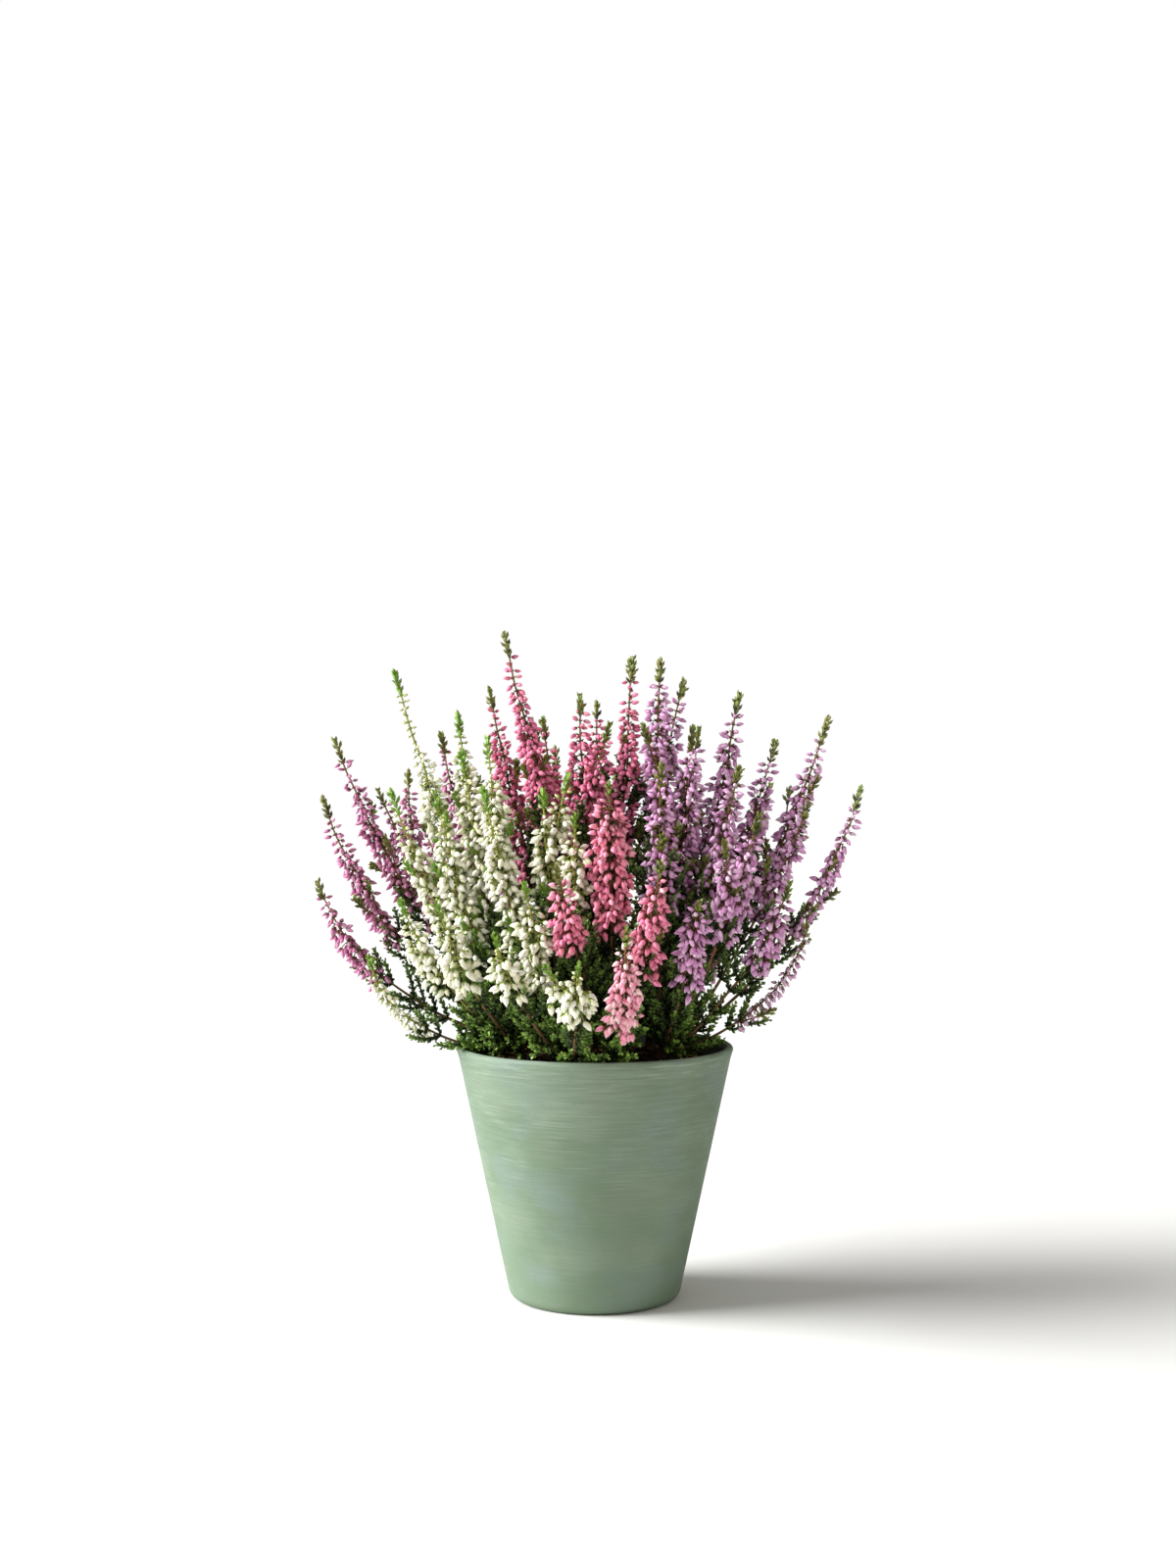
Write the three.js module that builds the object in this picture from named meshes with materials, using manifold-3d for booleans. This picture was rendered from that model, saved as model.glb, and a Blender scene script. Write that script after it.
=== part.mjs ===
// Potted heath: white, rose, lilac and mauve common heather grown together in one tapered round pot.
// Millimetres, +Z up. The origin is the middle of the pot's flat foot, and -Y is the front.
// Each rooted cutting is one woody plant in the soil, and each of its flower sprays is a solid of its own.
import * as THREE from "three";
import { mergeVertices } from "three/addons/utils/BufferGeometryUtils.js";
import Module from "manifold-3d";

// Pot
const potHeight = 118;
const potTopRadius = 65;
const potFootRadius = 39.5;
const potWall = 3.6;
const potFloor = 6;
const potHeelRound = 4;
const potSides = 42;

// Soil
const soilEdge = 108;
const soilMound = 5;
const soilRough = 1.1;
const soilSides = 24;
const soilRings = 3;

// Stems
const gap = 0.3;
const margin = 0.35;
const twigRadius = 1.3;
const trunkRadius = 4.2;
const trunkSides = 6;
const trunkSink = 16;
const crownRise = 1.8;
const crownSpread = 2.4;
const whorlTurn = THREE.MathUtils.degToRad(78);

// Flower spikes: whorls of three buds, with the widest reach of a bud at the spike's top and foot
const whorlPitch = 11.5;
const fewestWhorls = 3;
const budReachTop = 3.6;
const budReachFoot = 8;
const budReachLeast = 2.2;
const leafyTip = 9;
const forkRoom = 6.5;

// Leafy side shoots on the branches, dense below a height and sparse above it
const shootPitch = 21;
const shootReach = 3;
const shootLength = [17, 29];
const denseBelow = 168;
const dense = { whorl: 0.9, shoot: 0.58 };
const sparse = { whorl: 0.3, shoot: 0.3 };

// Where each rooted cutting stands, and its sprays. A spray gives the tip of its spike, how far the flowers
// reach down from the tip (bloom), how far out and how low its stem swings on the way (arch, lift), how wide
// the flower column is (full), and at times a second spike that forks off where the flowers begin (side).
const cuttings = {
  mauve: {
    at: [-27, 17],
    petals: "mauve",
    sprays: [
      { tip: [-131, 0, 195], bloom: 56, arch: 0.82, lift: 0.3, full: 0.7 },
      { tip: [-130, 15, 234], bloom: 78, arch: 0.74, lift: 0.34, full: 0.75 },
      { tip: [-126, 28, 262], bloom: 88, arch: 0.66, full: 0.75 },
      { tip: [-105, 27, 238], bloom: 72, full: 0.9, side: [-92, 52, 246] },
      { tip: [-76, 48, 265], bloom: 78, full: 0.8 },
      { tip: [-88, 84, 222], bloom: 74, side: [-112, 58, 200] },
      { tip: [-52, 96, 236], bloom: 80 },
      { tip: [-60, 118, 190], bloom: 56, arch: 0.75, lift: 0.35 },
    ],
  },
  white_left: {
    at: [-31, -9],
    petals: "white",
    sprays: [
      { tip: [-95, 5, 294], bloom: 104, arch: 0.5, full: 0.8 },
      { tip: [-95, -12, 238], bloom: 84, full: 0.95 },
      { tip: [-88, -42, 189], bloom: 62, arch: 0.72, full: 1.05 },
      { tip: [-103, -25, 162], bloom: 46, arch: 0.95, lift: 0.24, full: 0.55 },
      { tip: [-70, -68, 190], bloom: 64, arch: 0.7, full: 1.15 },
      { tip: [-73, -30, 237], bloom: 86, full: 1.1 },
      { tip: [-62, -4, 256], bloom: 92, full: 1.1, side: [-66, 22, 274] },
    ],
  },
  white_front: {
    at: [-11, -29],
    petals: "white",
    sprays: [
      { tip: [-51, -36, 239], bloom: 84, full: 1.1, side: [-50, -12, 262] },
      { tip: [-44, -88, 177], bloom: 46, arch: 0.72, full: 1.1 },
      { tip: [-31, -72, 198], bloom: 58, full: 1.15 },
      { tip: [-24, -34, 239], bloom: 68, side: [-12, -27, 246] },
      { tip: [-9, -50, 228], bloom: 56, full: 0.9 },
      { tip: [-7, -108, 166], bloom: 36, arch: 0.78, lift: 0.3, full: 1.2, side: [-22, -100, 164] },
    ],
  },
  rose_back: {
    at: [0, 10],
    petals: "rose",
    sprays: [
      { tip: [-51, 27, 287], bloom: 96, full: 0.9 },
      { tip: [-43, 2, 312], bloom: 112, arch: 0.35, full: 0.8 },
      { tip: [-25, 30, 272], bloom: 78, full: 0.95 },
      { tip: [-7, 2, 283], bloom: 92, full: 1.05, side: [7, -12, 269] },
      { tip: [1, 34, 280], bloom: 88, full: 0.9 },
      { tip: [18, 10, 301], bloom: 100, full: 0.9 },
      { tip: [-20, 76, 258], bloom: 86, side: [-32, 62, 272] },
      { tip: [12, 88, 246], bloom: 82 },
      { tip: [-16, 112, 206], bloom: 62, arch: 0.72, lift: 0.36 },
    ],
  },
  rose_front: {
    at: [9, -19],
    petals: "rose",
    sprays: [
      { tip: [6, -58, 242], bloom: 78, full: 1.35 },
      { tip: [-17, -82, 206], bloom: 50, full: 1.15 },
      { tip: [28, -90, 208], bloom: 56, full: 1.1 },
      { tip: [13, -108, 181], bloom: 60, arch: 0.78, lift: 0.35, full: 1.1 },
    ],
  },
  lilac_front: {
    at: [30, -11],
    petals: "lilac",
    sprays: [
      { tip: [45, -84, 191], bloom: 46, full: 1.05 },
      { tip: [88, -42, 197], bloom: 56, arch: 0.72 },
      { tip: [98, -20, 177], bloom: 58, arch: 0.9, lift: 0.34, full: 0.6 },
      { tip: [74, -46, 228], bloom: 76, full: 1.1, side: [57, -62, 216] },
      { tip: [30, -33, 250], bloom: 82, full: 1.15 },
      { tip: [101, -2, 232], bloom: 68, full: 0.7 },
      { tip: [125, 0, 239], bloom: 96, arch: 0.8, full: 0.65 },
    ],
  },
  lilac_back: {
    at: [24, 17],
    petals: "lilac",
    sprays: [
      { tip: [31, 5, 299], bloom: 98, full: 0.95, side: [43, 20, 290] },
      { tip: [46, -8, 268], bloom: 88, full: 1.15 },
      { tip: [69, 12, 284], bloom: 94, full: 0.95 },
      { tip: [67, -14, 249], bloom: 82, full: 1.15 },
      { tip: [87, 16, 261], bloom: 84, full: 1.05 },
      { tip: [112, 16, 272], bloom: 98, arch: 0.66, full: 0.85 },
      { tip: [88, 58, 240], bloom: 82, side: [104, 44, 214] },
      { tip: [52, 60, 268], bloom: 88 },
      { tip: [42, 96, 226], bloom: 76 },
      { tip: [72, 94, 192], bloom: 58, arch: 0.74, lift: 0.36 },
    ],
  },
};

const finishes = {
  pot: { color: 0x7f9c80, roughness: 0.75 },
  soil: { color: 0x2b1d13, roughness: 1 },
  foliage: { color: 0x3f6b22, roughness: 0.8 },
  white: { color: 0xeeeedd, roughness: 0.6 },
  rose: { color: 0xd8607f, roughness: 0.6 },
  lilac: { color: 0xb784bd, roughness: 0.6 },
  mauve: { color: 0xb0668f, roughness: 0.6 },
};

const group = new THREE.Group();
const wasm = await Module();
wasm.setup();

// The same sequence of numbers between 0 and 1 on every run.
let seed = 20417;
function random() {
  seed = (seed * 16807) % 2147483647;
  return seed / 2147483647;
}

// Solids and geometries

function toSolid(geometry) {
  const bare = geometry.clone();
  bare.deleteAttribute("normal");
  bare.deleteAttribute("uv");
  const merged = mergeVertices(bare, 1e-3);
  return new wasm.Manifold(
    new wasm.Mesh({
      numProp: 3,
      vertProperties: merged.attributes.position.array,
      triVerts: new Uint32Array(merged.index.array),
    }),
  );
}

// Fuses solids into one, and fills the small pockets that their overlap shuts in.
function fused(solids) {
  const parts = wasm.Manifold.union(solids).decompose();
  return parts.reduce((best, part) => (part.volume() > best.volume() ? part : best));
}

function geometryOf(points, triangles) {
  const geometry = new THREE.BufferGeometry().setFromPoints(points);
  geometry.setIndex(triangles.flat());
  return geometry;
}

// A profile of [radius, height] points turned about the Z axis.
function turned(profile, sides) {
  const outline = profile.map(([radius, height]) => new THREE.Vector2(radius, height));
  return new THREE.LatheGeometry(outline, sides).rotateX(Math.PI / 2);
}

function addNode(name, solid, finish) {
  const { vertProperties, triVerts } = solid.getMesh();
  const geometry = new THREE.BufferGeometry();
  geometry.setAttribute("position", new THREE.BufferAttribute(vertProperties, 3));
  geometry.setIndex(new THREE.BufferAttribute(triVerts, 1));
  geometry.computeVertexNormals();
  const mesh = new THREE.Mesh(geometry, new THREE.MeshStandardMaterial(finishes[finish]));
  mesh.name = name;
  group.add(mesh);
}

// Pot: one thrown shell with a flat foot, a rounded heel and a rounded rim

const wallLean = (potTopRadius - potFootRadius) / potHeight;
const insideRadius = (height) => potFootRadius + wallLean * height - potWall;

function buildPot() {
  const arcSteps = 3;
  const lip = potWall / 2;
  const profile = [[0, 0]];
  for (let step = 0; step <= arcSteps; step++) {
    const angle = (step / arcSteps) * (Math.PI / 2);
    const height = potHeelRound * (1 - Math.cos(angle));
    const radius = potFootRadius + wallLean * height - potHeelRound * (1 - Math.sin(angle));
    profile.push([radius, height]);
  }
  for (let step = 0; step <= arcSteps; step++) {
    const angle = (step / arcSteps) * Math.PI;
    profile.push([potTopRadius - lip + lip * Math.cos(angle), potHeight - lip + lip * Math.sin(angle)]);
  }
  profile.push([insideRadius(potFloor), potFloor], [0, potFloor]);
  addNode("pot", toSolid(turned(profile, potSides)), "pot");
}

// Soil: a mound of crumbly peat that fills the pot, with a plain hole for every trunk

function soilTop(x, y) {
  const share = Math.hypot(x, y) / potTopRadius;
  return soilEdge + soilMound * (1 - share * share);
}

function soilPoint(radius, side) {
  const angle = (side * 2 * Math.PI) / soilSides;
  const x = radius * Math.cos(angle);
  const y = radius * Math.sin(angle);
  const lump = 0.5 * Math.sin(0.61 * x + 1.3) * Math.cos(0.53 * y) + 0.5 * Math.sin(0.37 * (x + y));
  return new THREE.Vector3(x, y, soilTop(x, y) + soilRough * lump);
}

function buildSoil(holes) {
  const clear = gap + margin;
  const bottom = potFloor + gap;
  const points = [new THREE.Vector3(0, 0, soilTop(0, 0)), new THREE.Vector3(0, 0, bottom)];
  const [middle, floor] = [0, 1];
  const firstRing = points.length;
  for (let ring = 1; ring <= soilRings; ring++) {
    const radius = (ring / soilRings) * (insideRadius(soilEdge) - clear);
    for (let side = 0; side < soilSides; side++) points.push(soilPoint(radius, side));
  }
  for (let side = 0; side < soilSides; side++) {
    points.push(soilPoint(insideRadius(bottom) - clear, side).setZ(bottom));
  }
  const triangles = [];
  for (let side = 0; side < soilSides; side++) {
    const next = (side + 1) % soilSides;
    const last = firstRing + soilRings * soilSides;
    triangles.push([middle, firstRing + side, firstRing + next]);
    for (let inner = firstRing; inner < last; inner += soilSides) {
      const outer = inner + soilSides;
      triangles.push([inner + side, outer + side, outer + next], [inner + side, outer + next, inner + next]);
    }
    triangles.push([floor, last + next, last + side]);
  }
  const soil = toSolid(geometryOf(points, triangles));
  addNode("soil", soil.subtract(wasm.Manifold.union(holes)), "soil");
}

// Stems follow curves. A stem leaves its trunk, swings out towards the control point and then up to its tip.

function stemCurve(foot, tip, arch = 0.6, lift = 0.42) {
  const control = new THREE.Vector3().lerpVectors(foot, tip, arch);
  control.z = foot.z + lift * (tip.z - foot.z);
  return new THREE.QuadraticBezierCurve3(foot, control, tip);
}

// A side spike goes on in the main stem's direction for a while before it turns to its own tip.
function sideCurve({ point, along }, tip) {
  const control = point.clone().addScaledVector(along, 0.45 * point.distanceTo(tip));
  return new THREE.QuadraticBezierCurve3(point, control, tip);
}

// A stretch of a curve between two lengths from its start. The curve lies in one plane, so its frame
// never twists.
function stretch(curve, from, to) {
  const whole = curve.getLength();
  const bend = curve.v1.clone().sub(curve.v0).cross(curve.v2.clone().sub(curve.v1));
  const across = bend.length() > 1 ? bend.normalize() : new THREE.Vector3(0, 1, 0);
  return {
    length: to - from,
    at(distance) {
      const share = THREE.MathUtils.clamp((from + distance) / whole, 0, 1);
      const along = curve.getTangentAt(share);
      const side = across.clone().addScaledVector(along, -across.dot(along)).normalize();
      return { point: curve.getPointAt(share), along, side, front: along.clone().cross(side) };
    },
  };
}

// A point beside a stem: out from its middle at a turn, up along it, and aside.
function beside({ point, along, side, front }, turn, out, up = 0, aside = 0) {
  const outward = side.clone().multiplyScalar(Math.cos(turn)).addScaledVector(front, Math.sin(turn));
  const sideways = along.clone().cross(outward);
  return point
    .clone()
    .addScaledVector(outward, out)
    .addScaledVector(along, up)
    .addScaledVector(sideways, aside);
}

// Room: points on every stem with the radius that it takes up there, so that neighbours stay clear

const taken = [];

function claim(spray, part, path, radiusAt) {
  const steps = Math.ceil(path.length / 2);
  for (let step = 0; step <= steps; step++) {
    const distance = (path.length * step) / steps;
    taken.push({ spray, part, point: path.at(distance).point, radius: radiusAt(distance) });
  }
}

const isSpike = (part) => part.startsWith("spike");

// A spray's branch ends under its spikes, and its two spikes may grow into each other where they fork.
function mayTouch(spray, part, other, distance) {
  if (spray !== other.spray) return false;
  if (part === other.part && part !== "shoot") return true;
  return isSpike(part) && (other.part === "branch" || (isSpike(other.part) && distance < forkRoom));
}

function potRoom({ x, y, z }) {
  const lean = new THREE.Vector2(potTopRadius - potFootRadius, potHeight).normalize();
  const fromFoot = new THREE.Vector2(Math.hypot(x, y) - potFootRadius + potWall / 2, z);
  const up = Math.min(fromFoot.dot(lean), (potHeight - potWall / 2) / lean.y);
  const toWall = fromFoot.addScaledVector(lean, -up).length() - potWall / 2;
  const toSoil = Math.hypot(x, y) < insideRadius(z) ? z - soilTop(x, y) - soilRough : Infinity;
  return Math.min(toWall, toSoil);
}

// How far something at a point can reach and stay clear. Two spikes share what lies between them.
function reachAt(spray, part, point, wanted) {
  let reach = Math.min(wanted, potRoom(point) - gap - margin);
  for (const other of taken) {
    const distance = point.distanceTo(other.point);
    if (mayTouch(spray, part, other, distance)) continue;
    const shared = isSpike(part) && isSpike(other.part);
    reach = Math.min(reach, (shared ? distance / 2 : distance - other.radius) - gap - margin);
  }
  return reach;
}

// A stem has three sides, and its rings turn from one to the next. On each stretch between two rings, three
// facets point down and three point up. A bud hangs from a facet that points down, and a leaf or a side shoot
// stands on one that points up, so the whole stem stays one closed surface.

// A drooping bud: two shoulders under the upper ring, and a point that hangs out and down.
function hangBud({ points, triangles }, [low, right, left], frame, turn, reach, pitch) {
  const halfWidth = 0.27 * reach + 0.5;
  const p = points.push(beside(frame, turn, 0.62 * reach, -0.08 * pitch, -halfWidth)) - 1;
  const q = points.push(beside(frame, turn, 0.62 * reach, -0.08 * pitch, halfWidth)) - 1;
  const d = points.push(beside(frame, turn, reach, -0.82 * pitch)) - 1;
  triangles.push([p, q, right], [p, right, left], [d, q, p]);
  triangles.push([low, d, p], [low, p, left], [d, low, right], [d, right, q]);
}

// A leaf is a pyramid that leans up and out.
function standLeaf({ points, triangles }, [left, right, top], frame, turn, reach) {
  const apex = points.push(beside(frame, turn, 0.8 * reach, 0.6 * reach)) - 1;
  triangles.push([left, right, apex], [right, top, apex], [top, left, apex]);
}

// Grows a stem's surface from its rings, lowest first: { distance, radius, bud, leaf, sprout }. bud and leaf
// are how far they reach from the stem's middle on the stretch up to this ring. sprout may give a side shoot
// to grow in place of a leaf. A stem starts from base, a facet of its parent, or it is closed below. It ends
// in a point, or in a flat facet if its tip has no length.
function growStem(surface, base, { path, rings, tip, firstTurn = 0 }) {
  const { points, triangles } = surface;
  let lower = base;
  let turn = firstTurn;
  if (base) {
    const { point, side, front } = path.at(0);
    const corner = points[base[0]].clone().sub(point);
    turn = Math.atan2(corner.dot(front), corner.dot(side)) + whorlTurn;
  }
  let below = 0;
  for (const { distance, radius, bud = 0, leaf = 0, sprout = () => null } of rings) {
    const frame = path.at(distance);
    const corners = [0, 1, 2].map((k) => turn + (k * 2 * Math.PI) / 3);
    const upper = corners.map((corner) => points.push(beside(frame, corner, radius)) - 1);
    if (!lower) triangles.push([upper[0], upper[2], upper[1]]);
    for (let k = 0; lower && k < 3; k++) {
      const hanging = [lower[k], upper[k], upper[(k + 2) % 3]];
      const standing = [lower[k], lower[(k + 1) % 3], upper[k]];
      if (bud) hangBud(surface, hanging, frame, corners[k] - whorlTurn, bud, distance - below);
      else triangles.push(hanging);
      const shoot = sprout(frame, corners[k]);
      if (shoot) growStem(surface, standing, shoot);
      else if (leaf) standLeaf(surface, standing, frame, corners[k], leaf);
      else triangles.push(standing);
    }
    lower = upper;
    below = distance;
    turn += whorlTurn;
  }
  if (tip === 0) {
    triangles.push(lower);
    return;
  }
  const apex = points.push(beside(path.at(below), 0, 0, tip)) - 1;
  for (let k = 0; k < 3; k++) triangles.push([lower[k], lower[(k + 1) % 3], apex]);
}

function stemSolid(stem) {
  const surface = { points: [], triangles: [] };
  growStem(surface, null, stem);
  return toSolid(geometryOf(surface.points, surface.triangles));
}

// Plans every stem before any solid is made, so that all of them can keep clear of each other.
function planSprays() {
  const plans = [];
  for (const [cutting, { at, petals, sprays }] of Object.entries(cuttings)) {
    const crown = new THREE.Vector3(at[0], at[1], soilTop(...at) + crownRise);
    for (const { tip, bloom, arch, lift, full = 1, side } of sprays) {
      const number = plans.filter((plan) => plan.petals === petals).length + 1;
      const end = new THREE.Vector3(...tip);
      const aside = end.clone().sub(crown).setZ(0).setLength(crownSpread);
      const curve = stemCurve(crown.clone().add(aside), end, arch, lift);
      const whole = curve.getLength();
      const branch = stretch(curve, 0, whole - bloom - gap);
      const spikes = [stretch(curve, whole - bloom, whole)];
      if (side) {
        const fork = sideCurve(spikes[0].at(0), new THREE.Vector3(...side));
        spikes.push(stretch(fork, 0, fork.getLength()));
      }
      plans.push({ name: `${petals}_spike_${number}`, cutting, petals, branch, spikes, full });
    }
  }
  for (const { name, branch, spikes } of plans) {
    claim(name, "branch", branch, () => twigRadius);
    spikes.forEach((spike, fork) => claim(name, `spike ${fork}`, spike, () => twigRadius));
  }
  return plans;
}

// Flower spike: whorls of three hanging buds that grow smaller towards a leafy green tip

function spikeSolid({ name, spikes, full }, fork) {
  const part = `spike ${fork}`;
  const path = spikes[fork];
  const column = path.length - leafyTip;
  const whorls = Math.max(fewestWhorls, Math.round(column / whorlPitch));
  const rings = [{ distance: 0, radius: twigRadius }];
  for (let whorl = 1; whorl <= whorls; whorl++) {
    const below = rings.at(-1).distance;
    const distance = column * (whorl / whorls) ** 0.92;
    const depth = 1 - (distance + below) / 2 / column;
    const wanted = full * THREE.MathUtils.lerp(budReachTop, budReachFoot, Math.min(1, 1.7 * depth));
    const reach = Math.min(
      ...[0.1, 0.45, 0.85].map((share) => {
        const { point } = path.at(THREE.MathUtils.lerp(distance, below, share));
        return reachAt(name, part, point, wanted);
      }),
    );
    const parted = path.at(below).point.distanceTo(spikes[0].at(below).point);
    const bud = reach < budReachLeast || (fork > 0 && parted < forkRoom) ? 0 : reach;
    rings.push({ distance, radius: twigRadius * (1 - (0.35 * whorl) / whorls), bud });
    for (const share of [0.2, 0.75]) {
      const { point } = path.at(THREE.MathUtils.lerp(distance, below, share));
      taken.push({ spray: name, part, point, radius: bud });
    }
  }
  rings.push({ distance: column + 0.45 * leafyTip, radius: 0.75, leaf: 2.4 });
  return stemSolid({ path, rings, tip: 0.55 * leafyTip });
}

// Woody plant: a short trunk in the soil, with one leafy branch up to each flower spray

function trunkSolid([x, y], swell) {
  const top = soilTop(x, y);
  const profile = [
    [0, top - trunkSink - swell],
    [0.7 * trunkRadius + swell, top - trunkSink - swell],
    [trunkRadius + swell, top - 2],
    [0.8 * trunkRadius + swell, top + crownRise + 1],
    [0, top + crownRise + 2],
  ];
  return toSolid(turned(profile, trunkSides).translate(x, y, 0));
}

// A short leafy side shoot that leaves a branch at a turn. It grows only where its whole length is free.
function leafyShoot(spray, frame, turn) {
  const length = THREE.MathUtils.lerp(...shootLength, random());
  const start = beside(frame, turn, 0.6, -1.2);
  const elbow = beside(frame, turn, 0.42 * length, 0.12 * length);
  const tip = beside(frame, turn, 0.6 * length, 0.42 * length);
  tip.z += 0.34 * length;
  const curve = new THREE.QuadraticBezierCurve3(start, elbow, tip);
  const path = stretch(curve, 0, curve.getLength());
  const roomFor = (part, shares, reach) =>
    shares.every((share) => reachAt(spray, part, path.at(share * path.length).point, reach) >= reach);
  const base = { shares: [0.15, 0.3], reach: 1.2 };
  const leafy = { shares: [0.42, 0.6, 0.8, 1], reach: shootReach + margin };
  if (!roomFor("branch", base.shares, base.reach)) return null;
  if (!roomFor("shoot", leafy.shares, leafy.reach)) return null;
  claim(spray, "shoot", path, (distance) => (distance < 0.35 * path.length ? 1 : shootReach));
  const rings = [{ distance: 0.16 * path.length, radius: 0.95 }];
  for (const share of [0.4, 0.64, 0.86]) {
    const leaf = shootReach * (1.1 - 0.35 * share);
    rings.push({ distance: share * path.length, radius: 1.1 - 0.5 * share, leaf });
  }
  return { path, rings, tip: 0.14 * path.length };
}

// A branch is bare where it leaves the trunk beside its neighbours. Further up it has leafy side shoots.
function branchSolid({ name, branch }) {
  const rings = [{ distance: 0, radius: twigRadius }];
  const count = Math.max(2, Math.round(branch.length / shootPitch));
  for (let step = 1; step <= count; step++) {
    const distance = (branch.length * step) / count;
    const { point } = branch.at(distance);
    const chance = point.z < denseBelow ? dense : sparse;
    const free = step < count && reachAt(name, "branch", point, shootReach) >= shootReach;
    if (free && random() < chance.whorl) {
      const sprout = (frame, turn) => (random() < chance.shoot ? leafyShoot(name, frame, turn) : null);
      rings.push({ distance: distance - shootReach, radius: twigRadius });
      rings.push({ distance, radius: twigRadius, sprout });
    } else rings.push({ distance, radius: twigRadius });
  }
  return stemSolid({ path: branch, rings, tip: 0, firstTurn: 2 * Math.PI * random() });
}

const plans = planSprays();
buildPot();
for (const plan of plans) {
  const spikes = plan.spikes.map((spike, fork) => spikeSolid(plan, fork));
  addNode(plan.name, fused(spikes), plan.petals);
}
for (const [name, { at }] of Object.entries(cuttings)) {
  const branches = plans.filter((plan) => plan.cutting === name).map(branchSolid);
  addNode(`${name}_plant`, fused([trunkSolid(at, 0), ...branches]), "foliage");
}
buildSoil(Object.values(cuttings).map(({ at }) => trunkSolid(at, gap)));

export default group;
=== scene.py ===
# Potted heath: white, rose, lilac and mauve heather grown together in one sage-green pot.
# Metres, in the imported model's frame: the middle of the pot's foot is the origin and -Y is the front.
import random
from math import ceil, cos, hypot, pi, radians, sin
from types import SimpleNamespace

import bpy
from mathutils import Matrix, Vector, noise


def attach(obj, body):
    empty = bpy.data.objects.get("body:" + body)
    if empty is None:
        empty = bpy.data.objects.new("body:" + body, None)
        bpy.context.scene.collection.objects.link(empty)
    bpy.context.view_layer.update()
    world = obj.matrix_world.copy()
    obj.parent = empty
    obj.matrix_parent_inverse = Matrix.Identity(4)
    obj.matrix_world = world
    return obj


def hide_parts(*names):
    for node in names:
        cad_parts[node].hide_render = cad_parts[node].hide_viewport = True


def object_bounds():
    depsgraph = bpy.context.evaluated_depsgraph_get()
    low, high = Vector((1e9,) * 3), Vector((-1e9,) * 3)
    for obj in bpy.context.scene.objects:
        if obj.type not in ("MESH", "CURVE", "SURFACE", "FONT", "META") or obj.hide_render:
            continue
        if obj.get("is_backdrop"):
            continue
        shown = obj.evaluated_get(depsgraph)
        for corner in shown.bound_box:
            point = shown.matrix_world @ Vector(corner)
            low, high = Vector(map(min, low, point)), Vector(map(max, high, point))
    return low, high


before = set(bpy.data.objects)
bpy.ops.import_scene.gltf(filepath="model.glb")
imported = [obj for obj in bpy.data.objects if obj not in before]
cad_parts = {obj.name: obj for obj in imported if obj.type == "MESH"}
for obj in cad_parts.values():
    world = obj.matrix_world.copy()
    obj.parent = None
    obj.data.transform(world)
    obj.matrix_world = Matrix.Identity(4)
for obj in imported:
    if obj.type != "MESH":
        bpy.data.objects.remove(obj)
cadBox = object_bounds()
mm = 0.001
wholeTurn = 6.283  # two pi, near enough for draws by chance
random.seed(417)
noise.seed_set(417)


def mathsNode(operation, swapped=False):
    def added(wire, other):
        return wire.graph.maths(operation, *((other, wire) if swapped else (wire, other)))
    return added


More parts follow.
